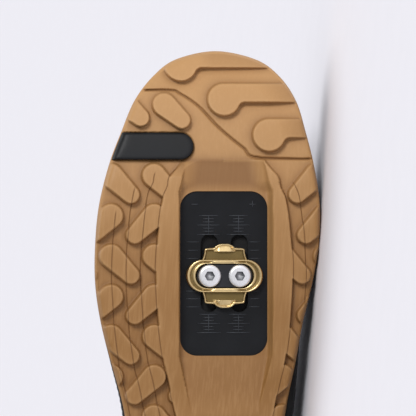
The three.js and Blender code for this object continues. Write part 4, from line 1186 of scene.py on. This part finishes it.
def sideHandles(c):
    # the four points of the side's cubic: foot, bulge over it, hold under the rim, and rim
    foot = insetEdge(c, tuckAt(c))
    rim = rimPoint(c)
    out = edgeNormal(c) * (ballWidth * around("bulge", c))[..., None]
    low = raised(foot, bedHeight(foot[..., 0]) + clearance)
    lowHandle = low + raised(out, upperHeight * around("lift", c))
    away = unit(foot - rim[..., :2]) * (length * around("reach", c))[..., None]
    rimHandle = rim + raised(away, -upperHeight * around("drop", c))
    return low, lowHandle, rimHandle, rim


def bezier(handles, t):
    # a cubic: each of its four points weighs in by the powers of t and of what is left of 1
    t = np.asarray(t)[..., None]
    p0, p1, p2, p3 = handles
    s = 1 - t
    return s**3 * p0 + 3 * s * s * t * p1 + 3 * s * t * t * p2 + t**3 * p3


def bezierTangent(handles, t):
    t = np.asarray(t)[..., None]
    p0, p1, p2, p3 = handles
    s = 1 - t
    return unit(3 * s * s * (p1 - p0) + 6 * s * t * (p2 - p1) + 3 * t * t * (p3 - p2))


def skin(c, t, lift):
    # point of the skin moved out along its normal by lift
    handles = sideHandles(c)
    up = bezierTangent(handles, t)
    along = bezier(sideHandles(c + 0.1), t) - bezier(sideHandles(c - 0.1), t)
    normal = np.cross(up, along)
    normal[..., 2] = np.where(np.asarray(t) <= 0, 0, normal[..., 2])
    return bezier(handles, t) + unit(normal) * np.asarray(lift)[..., None]


upperMesh = {
    "stations": 540,
    "rows": 64,
    "liningRows": 22,
    "step": 0.011,  # half the width of the step at guard and eyestay, as a share of the side
    "puff": 0.35,  # how far the cloth between them stands out
    "uvRuns": (90.0, 4.0, 80.0),  # how long the uv takes the skin, the rolled rim and the lining to be
    "creases": [  # station, where up the side, half width in stations, half height, depth in mm
        (14.2, 0.44, 0.34, 0.30, -0.55),
        (15.1, 0.52, 0.36, 0.34, -0.70),
        (16.1, 0.58, 0.40, 0.30, -0.45),
        (21.8, 0.46, 0.36, 0.30, -0.55),
        (20.9, 0.52, 0.36, 0.34, -0.70),
        (19.9, 0.58, 0.40, 0.30, -0.45),
        (5.6, 0.62, 0.55, 0.16, -0.60),
        (30.4, 0.62, 0.55, 0.16, -0.60),
        (6.9, 0.50, 0.60, 0.12, -0.45),
        (29.1, 0.50, 0.60, 0.12, -0.45),
    ],
}


def creaseLift(c, t):
    # each crease is a trough with a low ridge on both sides, fading up and down the side
    lift = np.zeros(np.broadcast(c, t).shape)
    for station, middle, wide, high, depth in upperMesh["creases"]:
        u, v = (c - station) / wide, (t - middle) / high
        lift += depth * (np.exp(-u * u) - 0.45 * np.exp(-((np.abs(u) - 1.6) ** 2))) * np.exp(-v * v)
    return lift


def makeUpper():
    # rows of the skin from sole to rim, a rolled rim, and the lining's rows back down inside
    count, rows = upperMesh["stations"], upperMesh["rows"]
    c = np.linspace(0, stations, count, endpoint=False)[None, :]
    t = np.linspace(0, 1, rows)[:, None]
    c, t = np.broadcast_arrays(c, t)
    rand, stay = around("rand", c), around("stay", c)
    step = upperMesh["step"]
    guard = 1 - smooth(rand - step, rand + step, t)
    band = smooth(stay - step, stay + step, t)
    overlay = shoe["overlay"]
    puff = upperMesh["puff"] * np.sin(np.pi * np.clip((t - rand) / np.maximum(stay - rand, 0.05), 0, 1))
    lift = overlay * np.maximum(guard, band) + (creaseLift(c, t) + puff) * (1 - guard) * (1 - band)
    lift = lift - overlay * 0.5 * smooth(0.985, 1.0, t)
    outer = skin(c, t, lift)
    liningT = np.linspace(1, 0, upperMesh["liningRows"])[:, None] + 0 * c[:1]
    liningC = np.broadcast_to(c[:1], liningT.shape)
    padShare = np.interp(liningT, [0, 0.64, 0.8, 0.92, 1.0], [0, 0, 0.9, 1.0, 0.3])
    pad = shoe["collarPad"] * np.maximum(around("pad", liningC), 0)
    inner = skin(liningC, liningT, -shoe["wall"] - pad * padShare)
    a, b = outer[-1], inner[0]
    tangent = bezierTangent(sideHandles(c[0]), np.ones(count))
    turn = np.linspace(0, np.pi, 7)[1:-1, None, None]
    roll = mix(a, b, (1 - np.cos(turn)) / 2) + tangent * np.sin(turn) * shoe["wall"] * 0.5
    points = np.concatenate([outer, roll, inner])
    total = len(points)
    faces = gridFaces(total, count, closedRows=True, closedColumns=True)
    flat = points.reshape(-1, 3)
    fill = np.zeros((total - rows, count))
    faceRow = np.repeat(np.arange(total), count)
    loop = np.linalg.norm(np.roll(outer[rows // 2], -1, axis=0) - outer[rows // 2], axis=1)
    u = 0.01 * np.concatenate([[0], np.cumsum(loop)[:-1]])[None, :]
    a, b, d = upperMesh["uvRuns"]
    v = [np.linspace(0, a, rows), a + np.linspace(0, b, 5), a + b + np.linspace(0, d, len(inner))]
    uv = stack(u, 0.01 * np.concatenate(v)[:, None]).reshape(-1, 2)
    masks = {"guard": guard, "stay": band, "vents": ventZone(c, t, rand, stay)}
    masks = {key: np.concatenate([mask, fill]).ravel() for key, mask in masks.items()}
    piece = makeMesh("upper_shell", flat, faces, upperSynthetic, ["upper"], uv=uv,
                     uvRound=0.01 * loop.sum(), attributes=masks,
                     second=(liningMesh, lambda n: (faceRow[:n] >= rows + 2)))
    print("upper made,", len(piece.data.polygons), "faces")


def ventZone(c, t, rand, stay):
    # where the vent holes lie: on the vamp and the quarters' front, clear of guard and eyestay
    middle = (t - rand) / np.maximum(stay - rand, 0.05)
    side = np.minimum(c, stations - c)
    zone = smooth(0.12, 0.16, middle) * smooth(0.88, 0.84, middle)
    return zone * smooth(7.2, 7.4, side) * smooth(17.2, 17.0, side)


makeUpper()


# The throat: tongue, laces and eyelets lie over it. across is 1 at the medial eyelet, -1 at the lateral.
throat = {"rimShare": 0.62, "eyeletPlace": 0.915, "eyeletRows": [12.4, 11.4, 10.45, 9.5, 8.55, 7.7]}


def throatSurface(j, across):
    # down each side to its rim, and between the rims a cubic in line with both sides
    j, across = np.broadcast_arrays(np.asarray(j, float), np.asarray(across, float))
    far = np.abs(across)
    rimShare = throat["rimShare"]
    c = np.where(across > 0, j, stations - j)
    t = 1 - (far - rimShare) / (1 - rimShare) * (1 - throat["eyeletPlace"])
    onSide = bezier(sideHandles(c), np.clip(t, 0, 1))
    medial, lateral = sideHandles(j), sideHandles(stations - j)
    one = np.ones(j.shape)
    a, b = bezier(medial, one), bezier(lateral, one)
    handle = 0.36 * np.linalg.norm(a - b, axis=-1, keepdims=True)
    bridge = (a, a + bezierTangent(medial, one) * handle, b + bezierTangent(lateral, one) * handle, b)
    crossing = bezier(bridge, np.clip(0.5 - 0.5 * across / rimShare, 0, 1))
    return np.where((far > rimShare)[..., None], onSide, crossing)


def throatNormal(j, across):
    alongRows = throatSurface(j + 0.15, across) - throatSurface(j - 0.15, across)
    acrossRows = throatSurface(j, across + 0.04) - throatSurface(j, across - 0.04)
    return unit(np.cross(alongRows, acrossRows))


def overThroat(j, across, lift):
    return throatSurface(j, across) + throatNormal(j, across) * np.asarray(lift)[..., None]


tongue = {
    "thickness": 5.0,
    "top": 24.0,
    "rows": [(16.6, 1.60), (15.2, 1.60), (14.0, 1.60), (13.0, 1.58), (11.8, 1.52), (10.5, 1.42),
             (9.0, 1.18), (8.1, 0.98), (7.4, 0.68)],
    "head": [(0.30, 0.120, 0.056, 1.00), (0.70, 0.122, 0.046, 1.00), (0.94, 0.110, 0.038, 0.85),
             (1.00, 0.094, 0.032, 0.55)],
    "up": (-0.42, 0.0, 0.91),
    "front": (0.91, 0.0, 0.42),
    "along": 110,
    "across": 56,
}


def makeTongue():
    # closed sections along the throat and up its head: a face, a rounded edge, a back and the other edge
    gap = shoe["wall"] + 2 * clearance
    n = tongue["across"]
    places = np.linspace(1, -1, n)

    def thick(p):
        return tongue["thickness"] * (1 - 0.56 * p * p)

    level = 0 * places
    sectionsOut = []
    for row, reach in tongue["rows"]:
        j = np.full(n, row)
        face = overThroat(j, places * reach, level - gap)
        back = overThroat(j, places * reach, -gap - thick(places))
        sectionsOut.append(np.concatenate([face, back[::-1]]))
    middle = overThroat(np.array([tongue["rows"][-1][0]]), np.array([0.0]), np.array([-gap]))[0]
    up, front = np.array(tongue["up"]), np.array(tongue["front"])
    for rise, half, bow, thin in tongue["head"]:
        def at(deep):
            return (middle + up * rise * tongue["top"] + np.outer(places, (0, half * ballWidth, 0))
                    - np.outer(places**2 * bow * ballWidth + thin * deep, front))
        sectionsOut.append(np.concatenate([at(level), at(thick(places))[::-1]]))
    loops = throughRows(sectionsOut, tongue["along"])
    centre = loops.mean(axis=1, keepdims=True)
    end = np.array([centre[-1, 0] + (loops[-1] - centre[-1]) * s for s in (0.8, 0.4, 0.0)])
    start = np.array([centre[0, 0] + (loops[0] - centre[0]) * s for s in (0.0, 0.5)])
    points = np.concatenate([start, loops, end])
    rows, columns = points.shape[:2]
    faces = gridFaces(rows, columns, closedColumns=True)
    wide = np.concatenate([places, places[::-1]])
    uv = stack(wide[None, :] * 0.3, np.linspace(0, 1.6, rows)[:, None])
    piece = makeMesh("tongue_pad", points.reshape(-1, 3), faces, tongueMesh, ["tongue"],
                     uv=uv.reshape(-1, 2))


makeTongue()
print("tongue made")

lace = {
    "width": 6.0,
    "thickness": 1.2,
    "eyeletHeight": 0.8,
    "steps": 46,
    "bunchFrom": 10.0,  # the strip narrows from this far before an eyelet's middle
    "bunch": 0.46,
    "diveFrom": 3.4,  # and dives through the eyelet from here
    "diveTo": 0.3,
    "diveDepth": 1.3,
}


def laceStrip(fromRow, fromAcross, toRow, toAcross, bow):
    # A flat strip over the throat, with a rounded bar as its section. Towards each end it bunches up and
    # dives through the eyelet: its lift falls from over the ring to under the skin.
    s = 0.5 - 0.5 * np.cos(np.linspace(0, np.pi, lace["steps"]))
    base = shoe["overlay"] + 3 * clearance + lace["eyeletHeight"]
    j = mix(fromRow, toRow, s)
    across = mix(fromAcross, toAcross, s)
    flat = overThroat(j, across, 0 * s)
    far = runLength(flat)
    toEnd = np.minimum(far, far[-1] - far)
    dive = 1 - smooth(lace["diveTo"], lace["diveFrom"], toEnd)
    wide = mix(lace["bunch"], 1.0, smooth(0, lace["bunchFrom"], toEnd))[:, None, None]
    lift = mix(base + bow * np.sin(np.pi * s), -lace["diveDepth"], dive)
    middle = overThroat(j, across, lift)
    normal = throatNormal(j, across)
    along = unit(np.gradient(middle, axis=0))
    side = unit(np.cross(along, normal))
    turn = fullTurn(20)
    w = np.sign(np.cos(turn)) * np.abs(np.cos(turn)) ** 0.45 * lace["width"] / 2
    h = 0.5 * lace["thickness"] * (1 + np.sign(np.sin(turn)) * np.abs(np.sin(turn)) ** 0.6)
    rings = middle[:, None] + side[:, None] * w[None, :, None] * wide + normal[:, None] * h[None, :, None]
    first = rings[:1].mean(axis=1, keepdims=True) + 0 * rings[:1]
    last = rings[-1:].mean(axis=1, keepdims=True) + 0 * rings[-1:]
    return np.concatenate([first, rings, last]), turn, s


def makeLaces():
    # a straight bar over the lowest eyelets and then two crossing runs up to each next pair
    rows = throat["eyeletRows"]
    runs = [(rows[0], 1.0, rows[0], -1.0, 0.0)]
    for low, high in zip(rows[:-1], rows[1:]):
        runs.append((low, 1.0, high, -1.0, 0.6 * lace["thickness"]))
        runs.append((low, -1.0, high, 1.0, 0.0))
    points, faces, uv, start = [], [], [], 0
    for i, (fromRow, fromAcross, toRow, toAcross, bow) in enumerate(runs):
        apart = 1 + 0.003 * i  # keeps the ends in one eyelet from coinciding
        rings, turn, s = laceStrip(fromRow, fromAcross * apart, toRow, toAcross * apart, bow)
        faces.append(gridFaces(rings.shape[0], rings.shape[1], start, closedColumns=True))
        points.append(rings.reshape(-1, 3))
        u = np.cos(turn)[None, :] * 0.03
        v = 0.5 * np.concatenate([[0], s, [1]])[:, None]
        uv.append(stack(u, v).reshape(-1, 2))
        start += rings.shape[0] * rings.shape[1]
    makeMesh("lace_strips", np.concatenate(points), faces, laceWeave, ["laces"],
             uv=np.concatenate(uv))


makeLaces()
print("laces made")

eyelet = {"radius": 3.8, "bore": 2.0, "height": 0.8, "around": 48}


def turned(sectionPoints, centre, axis, count):
    # a profile of radius and height carried round an axis
    axis = unit(np.asarray(axis, float))
    helper = np.array([0.0, 1.0, 0.0]) if abs(axis[1]) < 0.9 else np.array([1.0, 0.0, 0.0])
    u = unit(np.cross(axis, helper))
    v = np.cross(axis, u)
    turn = fullTurn(count)
    radial = np.outer(np.cos(turn), u) + np.outer(np.sin(turn), v)
    r, h = np.asarray(sectionPoints, float).T
    return np.asarray(centre) + r[:, None, None] * radial[None] + h[:, None, None] * axis


def makeEyelets():
    # a ring with a domed top, turned round each eyelet's own axis
    foot = shoe["overlay"] + clearance
    low, high, top = eyelet["bore"], eyelet["radius"], eyelet["height"]
    turn = np.linspace(0, np.pi, 9)
    dome = stack(mix(high, low, (1 - np.cos(turn)) / 2), foot + top * np.sin(turn))
    section = np.concatenate([dome, [(low, foot - 0.1), (high, foot - 0.1)]])
    for i, row in enumerate(throat["eyeletRows"]):
        for where, side in (("medial", 1.0), ("lateral", -1.0)):
            centre = throatSurface(np.array([row]), np.array([side]))[0]
            axis = throatNormal(np.array([row]), np.array([side]))[0]
            rings = turned(section, centre, axis, eyelet["around"])
            faces = gridFaces(rings.shape[0], rings.shape[1], closedRows=True, closedColumns=True)
            makeMesh(f"eyelet_ring_{where}_{i + 1}", rings.reshape(-1, 3), faces, eyeletBlack,
                     [f"eyelet_{where}_{i + 1}"])


makeEyelets()
print("eyelets made")


def stadiumRing(x, y, long, wide, arcCount, straightCount):
    # a slot's outline, with its nearest points on the middle line; both straight sides share those points
    radius = long / 2
    half = wide / 2 - radius
    turn = np.linspace(0, np.pi, arcCount, endpoint=False)
    run = half * (1 - 2 * np.linspace(0, 1, straightCount, endpoint=False))
    dx = np.concatenate([radius * np.cos(turn), 0 * run - radius, -radius * np.cos(turn), 0 * run + radius])
    dy = np.concatenate([radius * np.sin(turn), 0 * run, -radius * np.sin(turn), 0 * run])
    axisY = np.concatenate([0 * turn + half, run, 0 * turn - half, -run])
    return stack(x + dx, y + axisY + dy), stack(x, y + axisY)


def makeBadge():
    # Rings from its outline in to its middle line, over a wall and a rounded edge. The outline runs round the
    # tip, out along one side, over the sole's edge and back.
    x = badge["at"] * length
    radius = badge["width"] / 2
    inner = badge["innerEnd"] * ballWidth - radius
    tip = arc(x, inner, radius, 0, np.pi, 71)
    lateralC = stationAt(x, "lateralSide")
    edge = insetEdge(np.linspace(lateralC - 0.9, lateralC + 0.9, 300), 0.35)
    edge = edge[np.argsort(edge[:, 0])]

    def edgeY(px):
        return np.interp(px, edge[:, 0], edge[:, 1])

    along = np.linspace(0, 1, 60)
    left = stack(x - radius, mix(inner, edgeY(x - radius), along))
    cross = np.linspace(x - radius, x + radius, 40)
    end = stack(cross, edgeY(cross))
    right = stack(x + radius, mix(edgeY(x + radius), inner, along))
    loop = np.concatenate([tip, left[1:], end[1:], right[1:-1]])
    axisEnd = edgeY(x) + radius * 0.6
    axisY = np.concatenate([0 * tip[:, 1] + inner, mix(inner, axisEnd, along)[1:], 0 * cross[1:] + axisEnd,
                            mix(axisEnd, inner, along)[1:-1]])
    axis = stack(x, axisY)
    layers = []
    for share, drop, isBack in ((1.0, 0, True), (0.0, 0, True), (0.0, badge["chamfer"], False),
                                (0.03, 0.5, False), (0.075, 0.22, False), (0.13, 0.06, False),
                                (0.2, 0.0, False), (0.4, 0.0, False), (0.7, 0.0, False), (1.0, 0.0, False)):
        p = mix(loop, axis, share)
        inset = np.maximum(polygonGap(p[:, 0], p[:, 1], soleOutline) - 0.3, 0)
        if isBack:
            z = floorHeight(p[:, 0]) + badge["seat"] - clearance
        else:
            z = floorHeight(p[:, 0]) - badge["proud"] + drop + 3.4 * np.exp(-inset / 0.8)
        layers.append(raised(p, z))
    points, faces = closeRings(np.array(layers))
    makeMesh("badge_inlay", points, faces, badgeRubber, ["badge"])


makeBadge()
print("badge made")

cleat = {
    "depth": 15.3,
    "width": 35.8,
    "thickness": 4.3,
    "pocketWidth": 26.4,
    "pocketDepth": 11.0,
    "pocketFloor": 2.5,
}


def makeCleatRing():
    # rings from the pocket's floor up its wall, over the rounded rim and down the outside; the ends of the
    # rim are wider and carry a groove
    outerLoop, axis = stadiumRing(cleatX, cleatY, cleat["depth"], cleat["width"], 80, 40)
    innerLoop, _ = stadiumRing(cleatX, cleatY, cleat["pocketDepth"], cleat["pocketWidth"], 80, 40)
    face = seatLevel - cleat["thickness"]
    floor = seatLevel - cleat["pocketFloor"]
    endShare = smooth(5.0, 9.0, np.abs(axis[:, 1] - cleatY) + np.abs(outerLoop[:, 1] - axis[:, 1]) * 0.9)
    rows = [  # share from the pocket's wall to the outside, depth below the cleat's face, and polish with painted highlight, low values being painted shade
        (0.00, floor - face, 0.1), (0.02, 1.5, 0.25), (0.06, 0.75, 0.6), (0.16, 0.42, 1.0), (0.28, 0.5, 0.9),
        (0.38, 0.95, 0.25), (0.48, 1.15, 0.05), (0.58, 0.95, 0.2), (0.66, 0.4, 0.9), (0.76, 0.08, 1.0),
        (0.86, 0.1, 1.0), (0.94, 0.4, 0.9), (0.985, 0.95, 0.5), (1.00, 1.7, 0.3),
        (1.00, cleat["thickness"], 0.15),
    ]
    layers, polishAndHighlight = [], []
    for share, drop, shine in rows:
        p = mix(innerLoop, outerLoop, share)
        groove = np.where((share > 0.3) & (share < 0.62), endShare, 1.0)
        own = mix(np.full(len(p), 0.12), np.full(len(p), drop), groove)
        layers.append(raised(p, face + own))
        polishAndHighlight.append(mix(np.full(len(p), 0.95), np.full(len(p), shine), groove))
    rings = np.array([raised(axis, floor), *layers, raised(axis, seatLevel)])
    polishAndHighlight = np.array([polishAndHighlight[0] * 0, *polishAndHighlight, polishAndHighlight[-1] * 0])
    return rings, polishAndHighlight


cleatWing = {
    "outline": [(-2.0, 10.7), (0.0, 10.5), (1.2, 10.0), (3.0, 9.55), (4.5, 9.45), (4.95, 9.2), (5.2, 8.7),
                (5.32, 7.8), (5.4, 4.9), (5.9, 4.5), (6.6, 3.7), (7.1, 2.6), (7.4, 1.2)],
    "floor": 2.1,  # depths below the cleat's face
    "rim": 0.85,
    "rimWide": 0.75,
    "noseStart": 3.6,
    "noseHalf": 5.1,
    "noseTop": 0.5,
    "noseFall": 0.42,
}


def makeCleatWing(direction):
    # far is measured from the ring's edge. A rim follows the outline, the floor inside is sunk, and the nose
    # falls away towards the tip.
    distances, halves = np.array(cleatWing["outline"]).T
    far = np.unique(np.concatenate([distances, np.linspace(-2, 5.3, 34), np.linspace(5.4, 7.4, 14)]))
    half = np.interp(far, distances, halves)
    far = far[:, None] + 0 * np.linspace(-1, 1, 65)[None, :]
    y = half[:, None] * np.linspace(-1, 1, 65)[None, :]
    root = [(-6.0, halves[0])]
    side = np.array(root + cleatWing["outline"])
    gap = polygonGap(far, y, np.concatenate([side, (side * (1, -1))[::-1]]))
    face = seatLevel - cleat["thickness"]
    rim = smooth(cleatWing["rimWide"] + 0.4, cleatWing["rimWide"], gap)
    z = face + mix(cleatWing["floor"], cleatWing["rim"], rim) + 0.6 * smooth(0.35, 0, gap) ** 2
    start, noseHalf = cleatWing["noseStart"], cleatWing["noseHalf"]
    nose = smooth(noseHalf + 0.3, noseHalf - 0.3, np.abs(y)) * smooth(start - 0.12, start + 0.12, far)
    slope = face + cleatWing["noseTop"] + cleatWing["noseFall"] * (far - start)
    slope += 0.9 * smooth(2.4, noseHalf, np.abs(y)) + 0.6 * smooth(0.35, 0, gap) ** 2
    z = mix(z, np.minimum(z, slope), nose)
    # bright rim and nose: polish and painted highlight; the sunk floor stays dark as painted shade
    shine = np.maximum(0.9 * rim, nose) + 0.04
    x = cleatX + direction * (cleat["depth"] / 2 + far)
    return stack(x, cleatY + y, z), stack(x, cleatY + y, seatLevel), shine


def boxFaces(rows, columns, start):
    # closes a top grid and a bottom grid of the same size with a wall round them
    size = rows * columns
    topFaces = gridFaces(rows, columns, start)
    bottomFaces = gridFaces(rows, columns, start + size)[:, ::-1]
    number = np.arange(size).reshape(rows, columns) + start
    loop = np.concatenate([number[0, :-1], number[:-1, -1], number[-1, :0:-1], number[:0:-1, 0]])
    wall = np.stack([loop, loop + size, np.roll(loop, -1) + size, np.roll(loop, -1)], axis=-1)
    return [topFaces, bottomFaces, wall]


def joinBoxes(name, boxes, material, replaces=(), attribute=None):
    points, faces, values, start = [], [], [], 0
    for top, bottom, value in boxes:
        rows, columns = top.shape[:2]
        group = boxFaces(rows, columns, start)
        block = np.concatenate([top.reshape(-1, 3), bottom.reshape(-1, 3)])
        # each box is turned outwards by itself, by the side of its wall that looks away from its middle
        a, b, c, d = (block[group[0][:, k] - start] for k in range(4))
        outward = np.sum(np.cross(c - a, d - b) * (a - bottom.reshape(-1, 3).mean(axis=0)))
        if outward < 0:
            group = [g[:, ::-1] for g in group]
        faces += group
        points.append(block)
        values.append(np.concatenate([np.ravel(value), np.zeros(rows * columns)]))
        start += len(block)
    extra = {attribute: np.concatenate(values)} if attribute else {}
    return makeMesh(name, np.concatenate(points), faces, material, replaces, attributes=extra)


def makeCleat():
    rings, polishAndHighlight = makeCleatRing()
    points, faces = closeRings(rings)
    makeMesh("cleat_body", points, faces, cleatBrass, ["cleat"],
             attributes={"polishAndHighlight": polishAndHighlight.ravel()})
    wings = [makeCleatWing(direction) for direction in (1, -1)]
    joinBoxes("cleat_wings", wings, cleatBrass, ["cleat"], attribute="polishAndHighlight")


makeCleat()
print("cleat made")

bolt = {"headRadius": 5.2, "headHeight": 1.6, "socket": 4.0, "socketDepth": 1.9, "radius": 2.5, "reach": 8.8}


def makeBolt(name, side):
    # rings from the socket's floor out over the head and down the shank; the socket's rings are six-sided
    count = 96
    turn = fullTurn(count)
    corner = bolt["socket"] / np.sqrt(3)
    fold = (turn + np.pi / 6) % (np.pi / 3) - np.pi / 6
    hexRadius = corner * np.cos(np.pi / 6) / np.cos(fold)
    headTop = seatLevel - cleat["pocketFloor"] - 1.0 - 2 * clearance
    face = headTop - bolt["headHeight"]
    deep, foot = face + bolt["socketDepth"], headTop + bolt["reach"]
    r, shank = bolt["headRadius"], bolt["radius"]
    rows = [
        (0, deep + 0.5), (hexRadius * 0.4, deep + 0.3), (hexRadius * 0.96, deep), (hexRadius, deep - 0.1),
        (hexRadius, face + 0.12), (hexRadius + 0.14, face), (r - 1.5, face), (r - 0.85, face + 0.06),
        (r - 0.4, face + 0.28), (r - 0.1, face + 0.62), (r, face + 1.0), (r, headTop - 0.1),
        (r - 0.1, headTop), (shank, headTop), (shank, foot), (0, foot),
    ]
    centreY = cleatY + side * boltSpacing / 2
    rings = [stack(cleatX + radius * np.cos(turn), centreY + radius * np.sin(turn), z) for radius, z in rows]
    points, faces = closeRings(np.array(rings))
    sharp = [np.arange(count) + k * count for k in (2, 4, 5, 11, 13)]
    # painted shade in the socket, left light at its centre as a painted glint
    socketShadeAndGlint = np.repeat([0.1, 0.75, 1.0, 1.0, 1.0] + [0.0] * (len(rows) - 5), count)
    makeMesh(name + "_turned", points, faces, boltSteel, [name], sharp=sharp,
             attributes={"socket": socketShadeAndGlint})


for name, side in (("bolt_medial", 1), ("bolt_lateral", -1)):
    makeBolt(name, side)
print("bolts made")


def colourNode(name, material):
    # a CAD node that keeps its own mesh gets only a material
    node = frame["nodes"][name]
    node.data.materials.clear()
    node.data.materials.append(material)


colourNode("cleat_plate", plateNylon)
colourNode("cleat_washer", washerBlack)

plateMarks = {
    "columns": 7.0,  # half the distance between the two scales
    "frontRows": (215.9, 207.1),
    "rearRows": (169.8, 161.3),
    "sideRows": [203.6, 199.7, 195.9, 180.7, 177.1, 173.3],
    "reaches": (4.4, 2.6, 2.6, 5.2, 2.6, 2.6, 5.6),  # half lengths of a scale's ticks
    "sideSpans": ((-10.1, -3.8), (19.3, 24.6)),
    "centre": 7.4,
    "sign": (221.2, 13.5, 1.6),  # place along and across, and half size, of the minus and the plus
    "width": 0.32,
    "proud": 0.28,
    "plateFace": 8.0,
}


def bar(x0, x1, y0, y1):
    # a low bar on the plate's face with a rounded top
    x = np.linspace(x0, x1, 4)[:, None]
    y = np.linspace(y0, y1, 4)[None, :]
    inside = np.array([0, 1, 1, 0])
    face = plateMarks["plateFace"]
    z = face - plateMarks["proud"] * (0.35 + 0.65 * np.outer(inside, inside))
    return stack(x + 0 * y, y + 0 * x, z), stack(x + 0 * y, y + 0 * x, face + 0.1), z * 0


def makePlateMarks():
    # four scales of seven ticks, ticks beside the cleat, and one minus and one plus at the toe's end
    bars = []
    half = plateMarks["width"] / 2
    centre = plateMarks["centre"]
    for low, high in (plateMarks["frontRows"], plateMarks["rearRows"]):
        for side in (-1, 1):
            y = centre + side * plateMarks["columns"]
            for reach, x in zip(plateMarks["reaches"], np.linspace(low, high, 7)):
                bars.append(bar(x - half, x + half, y - reach, y + reach))
            bars.append(bar(min(low, high), max(low, high), y - half, y + half))
    for x in plateMarks["sideRows"]:
        for y0, y1 in plateMarks["sideSpans"]:
            bars.append(bar(x - half, x + half, y0, y1))
    x, across, size = plateMarks["sign"]
    for y in (centre - across, centre + across):
        bars.append(bar(x - half, x + half, y - size, y + size))
    bars.append(bar(x - size, x + size, centre + across - half, centre + across + half))
    joinBoxes("plate_marks", bars, plateMarkHighlight)


makePlateMarks()
print("plate marks made")


# Stitches: two rows along the edges of guard and eyestay, joined in one mesh
stitch = {"length": 2.1, "gap": 3.1, "width": 0.55, "height": 0.32, "inset": 0.028}


def makeStitches():
    # each stitch is a low lozenge: a ring of six points round its middle and two ends
    c = np.linspace(0, stations, 5200)
    lines = []
    for key, sign in (("rand", -1), ("stay", 1)):
        t = around(key, c) + sign * stitch["inset"]
        path = skin(c, t, np.full(c.shape, shoe["overlay"]))
        up = bezierTangent(sideHandles(c), t)
        along = unit(np.gradient(path, axis=0))
        out = unit(np.cross(up, along))
        far = runLength(path)
        count = int(far[-1] // stitch["gap"])
        middle = (np.arange(count) + 0.5) * far[-1] / count
        i = np.searchsorted(far, middle)
        lines.append((path[i], unit(along[i]), unit(up[i]), unit(out[i])))
    p, along, up, out = (np.concatenate(part)[:, None] for part in zip(*lines))
    turn = fullTurn(6)
    stop = np.array([-0.5, -0.36, 0.0, 0.36, 0.5])
    fat = np.array([0.25, 0.8, 1.0, 0.8, 0.25])
    a = (stop[:, None] * stitch["length"] + 0 * turn).ravel()[None, :, None]
    w = (fat[:, None] * np.cos(turn) * stitch["width"] / 2).ravel()[None, :, None]
    h = (fat[:, None] * np.sin(turn) * stitch["height"]).ravel()[None, :, None]
    body = p + along * a + up * w + out * h
    ends = p + along * (np.array([-0.56, 0.56]) * stitch["length"])[None, :, None]
    points = np.concatenate([body, ends], axis=1)
    size = points.shape[1]
    one = gridFaces(5, 6, closedColumns=True)
    k = np.arange(6)
    following = (k + 1) % 6
    caps = np.concatenate([np.stack([0 * k + 30, k, following], axis=-1),
                           np.stack([0 * k + 31, 24 + following, 24 + k], axis=-1)])
    starts = (np.arange(len(points)) * size)[:, None, None]
    faces = [(one[None] + starts).reshape(-1, 4), (caps[None, :, ::-1] + starts).reshape(-1, 3)]
    makeMesh("stitches", points.reshape(-1, 3), faces, stitchThread)


makeStitches()
print("stitches made")


# Floor, light and world
studio = {
    "floor": (238, 237, 243),
    "floorHalf": 60.0,  # metres
    "world": 0.45,
    "suns": [  # name, strength, soft angle in degrees, direction towards it
        ("front", 1.9, 20.0, (0.62, -0.90, 0.48)),
        ("top", 1.15, 40.0, (0.12, 0.42, 0.90)),
    ],
}


def makeStudio():
    n = Nodes("floorPaper")
    fine = n.noise(n.objectPlace(), 60.0, 2.0)
    shade = n.blend(n.span(fine, 0.3, 0.7), colour(*studio["floor"]), colour(239, 238, 244))
    paper = n.finish(colour=shade, roughness=0.9, specular=0.1)
    mesh = bpy.data.meshes.new("floor")
    far = studio["floorHalf"]
    mesh.from_pydata([(-far, -far, 0), (far, -far, 0), (far, far, 0), (-far, far, 0)], [], [(0, 1, 2, 3)])
    floor = bpy.data.objects.new("floor", mesh)
    floor.data.materials.append(paper)
    bpy.context.scene.collection.objects.link(floor)
    world = bpy.data.worlds.new("world")
    bpy.context.scene.world = world
    world.use_nodes = True
    background = world.node_tree.nodes["Background"]
    background.inputs["Color"].default_value = (0.97, 0.97, 1.0, 1)
    background.inputs["Strength"].default_value = studio["world"]
    for name, strength, angle, towards in studio["suns"]:
        data = bpy.data.lights.new(name, "SUN")
        data.energy = strength
        data.angle = np.radians(angle)
        light = bpy.data.objects.new(name, data)
        light.rotation_mode = "QUATERNION"
        light.rotation_quaternion = Vector(towards).to_track_quat("Z", "Y")
        bpy.context.scene.collection.objects.link(light)
    bpy.context.scene.view_settings.view_transform = "Standard"


makeStudio()
print("studio made")
